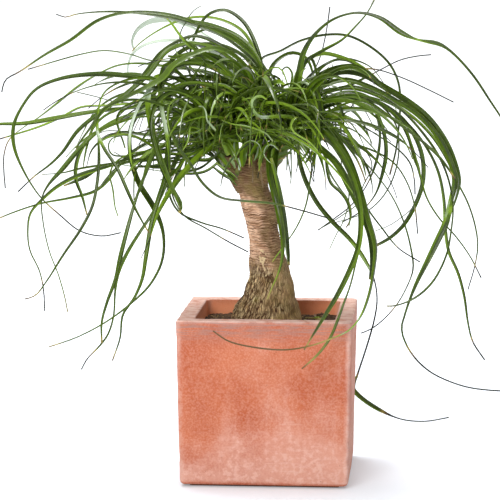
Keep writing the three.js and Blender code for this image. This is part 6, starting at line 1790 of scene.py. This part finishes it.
def standout(entry, rng):
    """A blade from a row of the table: its route on the lines of sight, its widths and its tone."""
    tone, near, far, widths, (across, down) = entry
    if not np.ndim(widths):
        widths = [0, 0.12, 0.8, 1], [0.8 * widths, widths, 0.75 * widths, 1]
    route = sight_point(across - MIDDLE, MIDDLE - down, np.linspace(near, far, len(across)))
    line = even_points(route, int(np.clip(len(route) * 4, 16, 56)))
    t = np.linspace(0, 1, len(line))
    wide = np.maximum(np.interp(t, *widths), 1.1)
    face = unit(TRACED_FACE + rng.normal(0, 0.25, 3))
    rings = blade_surface(line, wide, face, BROAD, gutter=rng.uniform(0.4, 1),
                          twist=rng.uniform(0.1, 0.5), phase=rng.uniform(0, 6.3))
    return rings, BROAD, shaded_tone(tone, BROAD, t, rng), np.interp(t, [0.97, 1], [0, 0.25])


rng = np.random.default_rng(12)
young = [young_leaves(head, count, 70 + number) for number, (head, count) in enumerate(YOUNG.items())]
join_blades("young_leaves", sum(young, []))
join_blades("standout_leaves", [standout(entry, rng) for entry in STANDOUTS])

# %% [markdown]
# ## Old leaf bases
# Where leaves have died off, the arms stay wrapped in their dry bases: small ragged scraps, brown to
# straw-coloured, that clasp the stem and curl away at the tip. Among them stand the broad green bases
# of living leaves. Each is a small blade, rooted on an arm or on a core and bent outwards.

# %% Old leaf bases


def leaf_bases(head, count, seed, green=False):
    """Scraps set round an arm and its core. Each climbs along the stem and bends away from it as the
    square of its length. Green ones are longer and broader, and keep closer to the stem."""
    rng = np.random.default_rng(seed)
    start, end, r0, r1 = ARMS[head]
    start, end = np.array(start, float), np.array(end, float)
    axis = core_of(head)[2]
    side, front = square_to(axis)
    t = np.linspace(0, 1, 9)[:, None]
    made = []
    for _ in range(count):
        share = rng.uniform(0.6, 1.6) if green else rng.uniform(0.35, 1.4)
        turn = rng.uniform(0, 2 * np.pi)
        out = side * math.cos(turn) + front * math.sin(turn)
        radius = np.interp(share, [0, 1, 1.8], [r0, r1, CORE_TIP]) - 1.5
        foot = start + (end - start) * share + out * radius
        length = rng.uniform(24, 50) if green else rng.uniform(6, 16)
        curl = rng.uniform(0.0, 0.55 if green else 0.6)
        bend = np.cross(axis, out) * rng.normal(0, 0.25)
        line = foot + axis * length * t * (1 - 0.3 * curl * t) + bend * length * t ** 2
        line = line + out * length * (0.12 * t + 0.5 * curl * t ** 2)
        width = rng.uniform(3.5, 8) * (0.6 + 0.4 * np.sin(np.pi * t[:, 0])) * (1 - t[:, 0] ** 3) + 0.4
        dry = np.clip(rng.uniform(0.0, 1.3) + 0.3 * t[:, 0], 0, 1)
        if green:
            width, dry = rng.uniform(6, 11) * (1 - t[:, 0] ** 2.5) + 0.5, np.zeros(len(t))
        rings = blade_surface(line, width, out, gutter=-0.35)
        made.append((rings, BROAD, rng.uniform(-0.3, 1.0) if green else rng.uniform(-1, 1), dry))
    return made


bases = [leaf_bases(head, 80, 90 + number) for number, head in enumerate(CROWNS)]
bases += [leaf_bases(head, 34, 95 + number, green=True) for number, head in enumerate(CROWNS)]
join_blades("old_leaf_bases", sum(bases, []))

# %% [markdown]
# ## Fallen scraps
# Bits of dead leaf lie on the mix beside the trunk. They are the same kind of blade, short, curled and
# laid flat, and each one rests on the surface that was worked out for the mix.

# %% Fallen scraps
FRONT_CORNER = [62, -12]
HIGHEST_SCRAP = 219


def fallen_scraps(count, seed):
    """Short curled blades on the mix. Most lie in the front corner on the right of the trunk."""
    rng = np.random.default_rng(seed)
    t = np.linspace(0, 1, 10)
    made = []
    while len(made) < count:
        near_corner = len(made) < count * 0.7
        spot = rng.normal(FRONT_CORNER, [12, 26]) if near_corner else rng.uniform(-75, 75, 2)
        if np.hypot(spot[0] - TRUNK_X, spot[1]) < 58 or np.abs(spot).max() > 84:
            continue
        heading = rng.uniform(0, 2 * np.pi) + rng.normal(0, 1.2) * t
        length = rng.uniform(9, 24)
        steps = np.stack([np.cos(heading), np.sin(heading)], -1) * length / len(t)
        xy = np.clip(spot + np.cumsum(steps, axis=0), -88, 88)
        z = fine_soil_height(xy[:, 0], xy[:, 1]) + 1.6 + rng.uniform(0, 2.5) * np.sin(np.pi * t)
        line = np.column_stack([xy, np.minimum(z, HIGHEST_SCRAP)])
        width = rng.uniform(2.5, 5) * (1 - (2 * t - 1) ** 4) + 0.4
        rings = blade_surface(line, width, np.array([0, 0, 1.0]), NARROW, gutter=0.5)
        made.append((rings, NARROW, rng.uniform(0, 1.2), np.full(len(t), rng.choice([0.1, 0.3, 0.6, 1]))))
    return made


join_blades("fallen_scraps", fallen_scraps(34, 6))

# %% [markdown]
# ## Floor and light
# The photograph is a bright studio shot. A large soft light stands on the left in front, another
# hangs overhead and a little behind, and a soft shadow lies round the foot of the pot. The floor is a
# light table that glows more away from the pot, so it looks white all over and still shows shadows.
# The surround looks pure white, but lights the plant with less, and least from the camera's side. So
# the leaves stay deep green there and shine where they turn away. Light Path tells the two apart.

# %% Floor, surround and lamps
FLOOR_HALF = 30


def add_floor():
    """A plain pale floor that glows a little, far larger than the object."""
    mesh = bpy.data.meshes.new("floor")
    corners = [(x * FLOOR_HALF, y * FLOOR_HALF, 0) for x, y in ((-1, -1), (1, -1), (1, 1), (-1, 1))]
    mesh.from_pydata(corners, [], [(0, 1, 2, 3)])
    floor = new_object("floor", mesh)
    material, tree, shader = new_material("pale floor", 0.1)
    shader.inputs["Base Color"].default_value = (0.70, 0.74, 0.80, 1)
    shader.inputs["Emission Color"].default_value = (1, 1, 1, 1)
    away = node(tree, "ShaderNodeVectorMath", {0: place(tree)}, operation="LENGTH").outputs["Value"]
    tree.links.new(ramp(tree, away, 0.2, 2.5, 0.22, 0.9), shader.inputs["Emission Strength"])
    shader.inputs["Roughness"].default_value = 0.9
    mesh.materials.append(material)


def add_lamp(name, where, aim, size, power, colour=(1, 1, 1)):
    """A square area light that faces its aim point."""
    data = bpy.data.lights.new(name, "AREA")
    data.size = size
    data.energy = power
    data.color = colour
    lamp = new_object(name, data)
    lamp.location = where
    lamp.rotation_euler = (Vector(aim) - Vector(where)).to_track_quat("-Z", "Y").to_euler()


def add_surround(seen, front, behind, above):
    """An even white surround where it is seen. What it lights with is weak from the camera's side,
    strong from behind and above, and eased between."""
    world = bpy.data.worlds.new("white surround")
    bpy.context.scene.world = world
    world.use_nodes = True
    tree = world.node_tree
    tree.nodes.clear()
    way = node(tree, "ShaderNodeTexCoord").outputs["Generated"]
    way = node(tree, "ShaderNodeSeparateXYZ", {"Vector": way}).outputs
    shining = maths(tree, "MAXIMUM", ramp(tree, way["Y"], -0.5, 0.8, front, behind),
                    ramp(tree, way["Z"], 0.2, 0.9, 0, above))
    straight = node(tree, "ShaderNodeLightPath").outputs["Is Camera Ray"]
    strength = ramp(tree, straight, 0, 1, shining, seen)
    sky = node(tree, "ShaderNodeBackground", {"Color": (1, 1, 1, 1), "Strength": strength})
    node(tree, "ShaderNodeOutputWorld", {"Surface": sky.outputs[0]})


add_floor()
add_surround(1.05, 0.22, 0.75, 0.8)
add_lamp("key", (-0.95, -3.2, 1.75), (0, 0, 0.35), 1.5, 80, (1.0, 0.985, 0.96))
add_lamp("overhead", (-0.5, 0.6, 3.0), (0, 0, 0.4), 1.3, 92)
bpy.context.scene.view_settings.view_transform = "Standard"
print("stage is set")
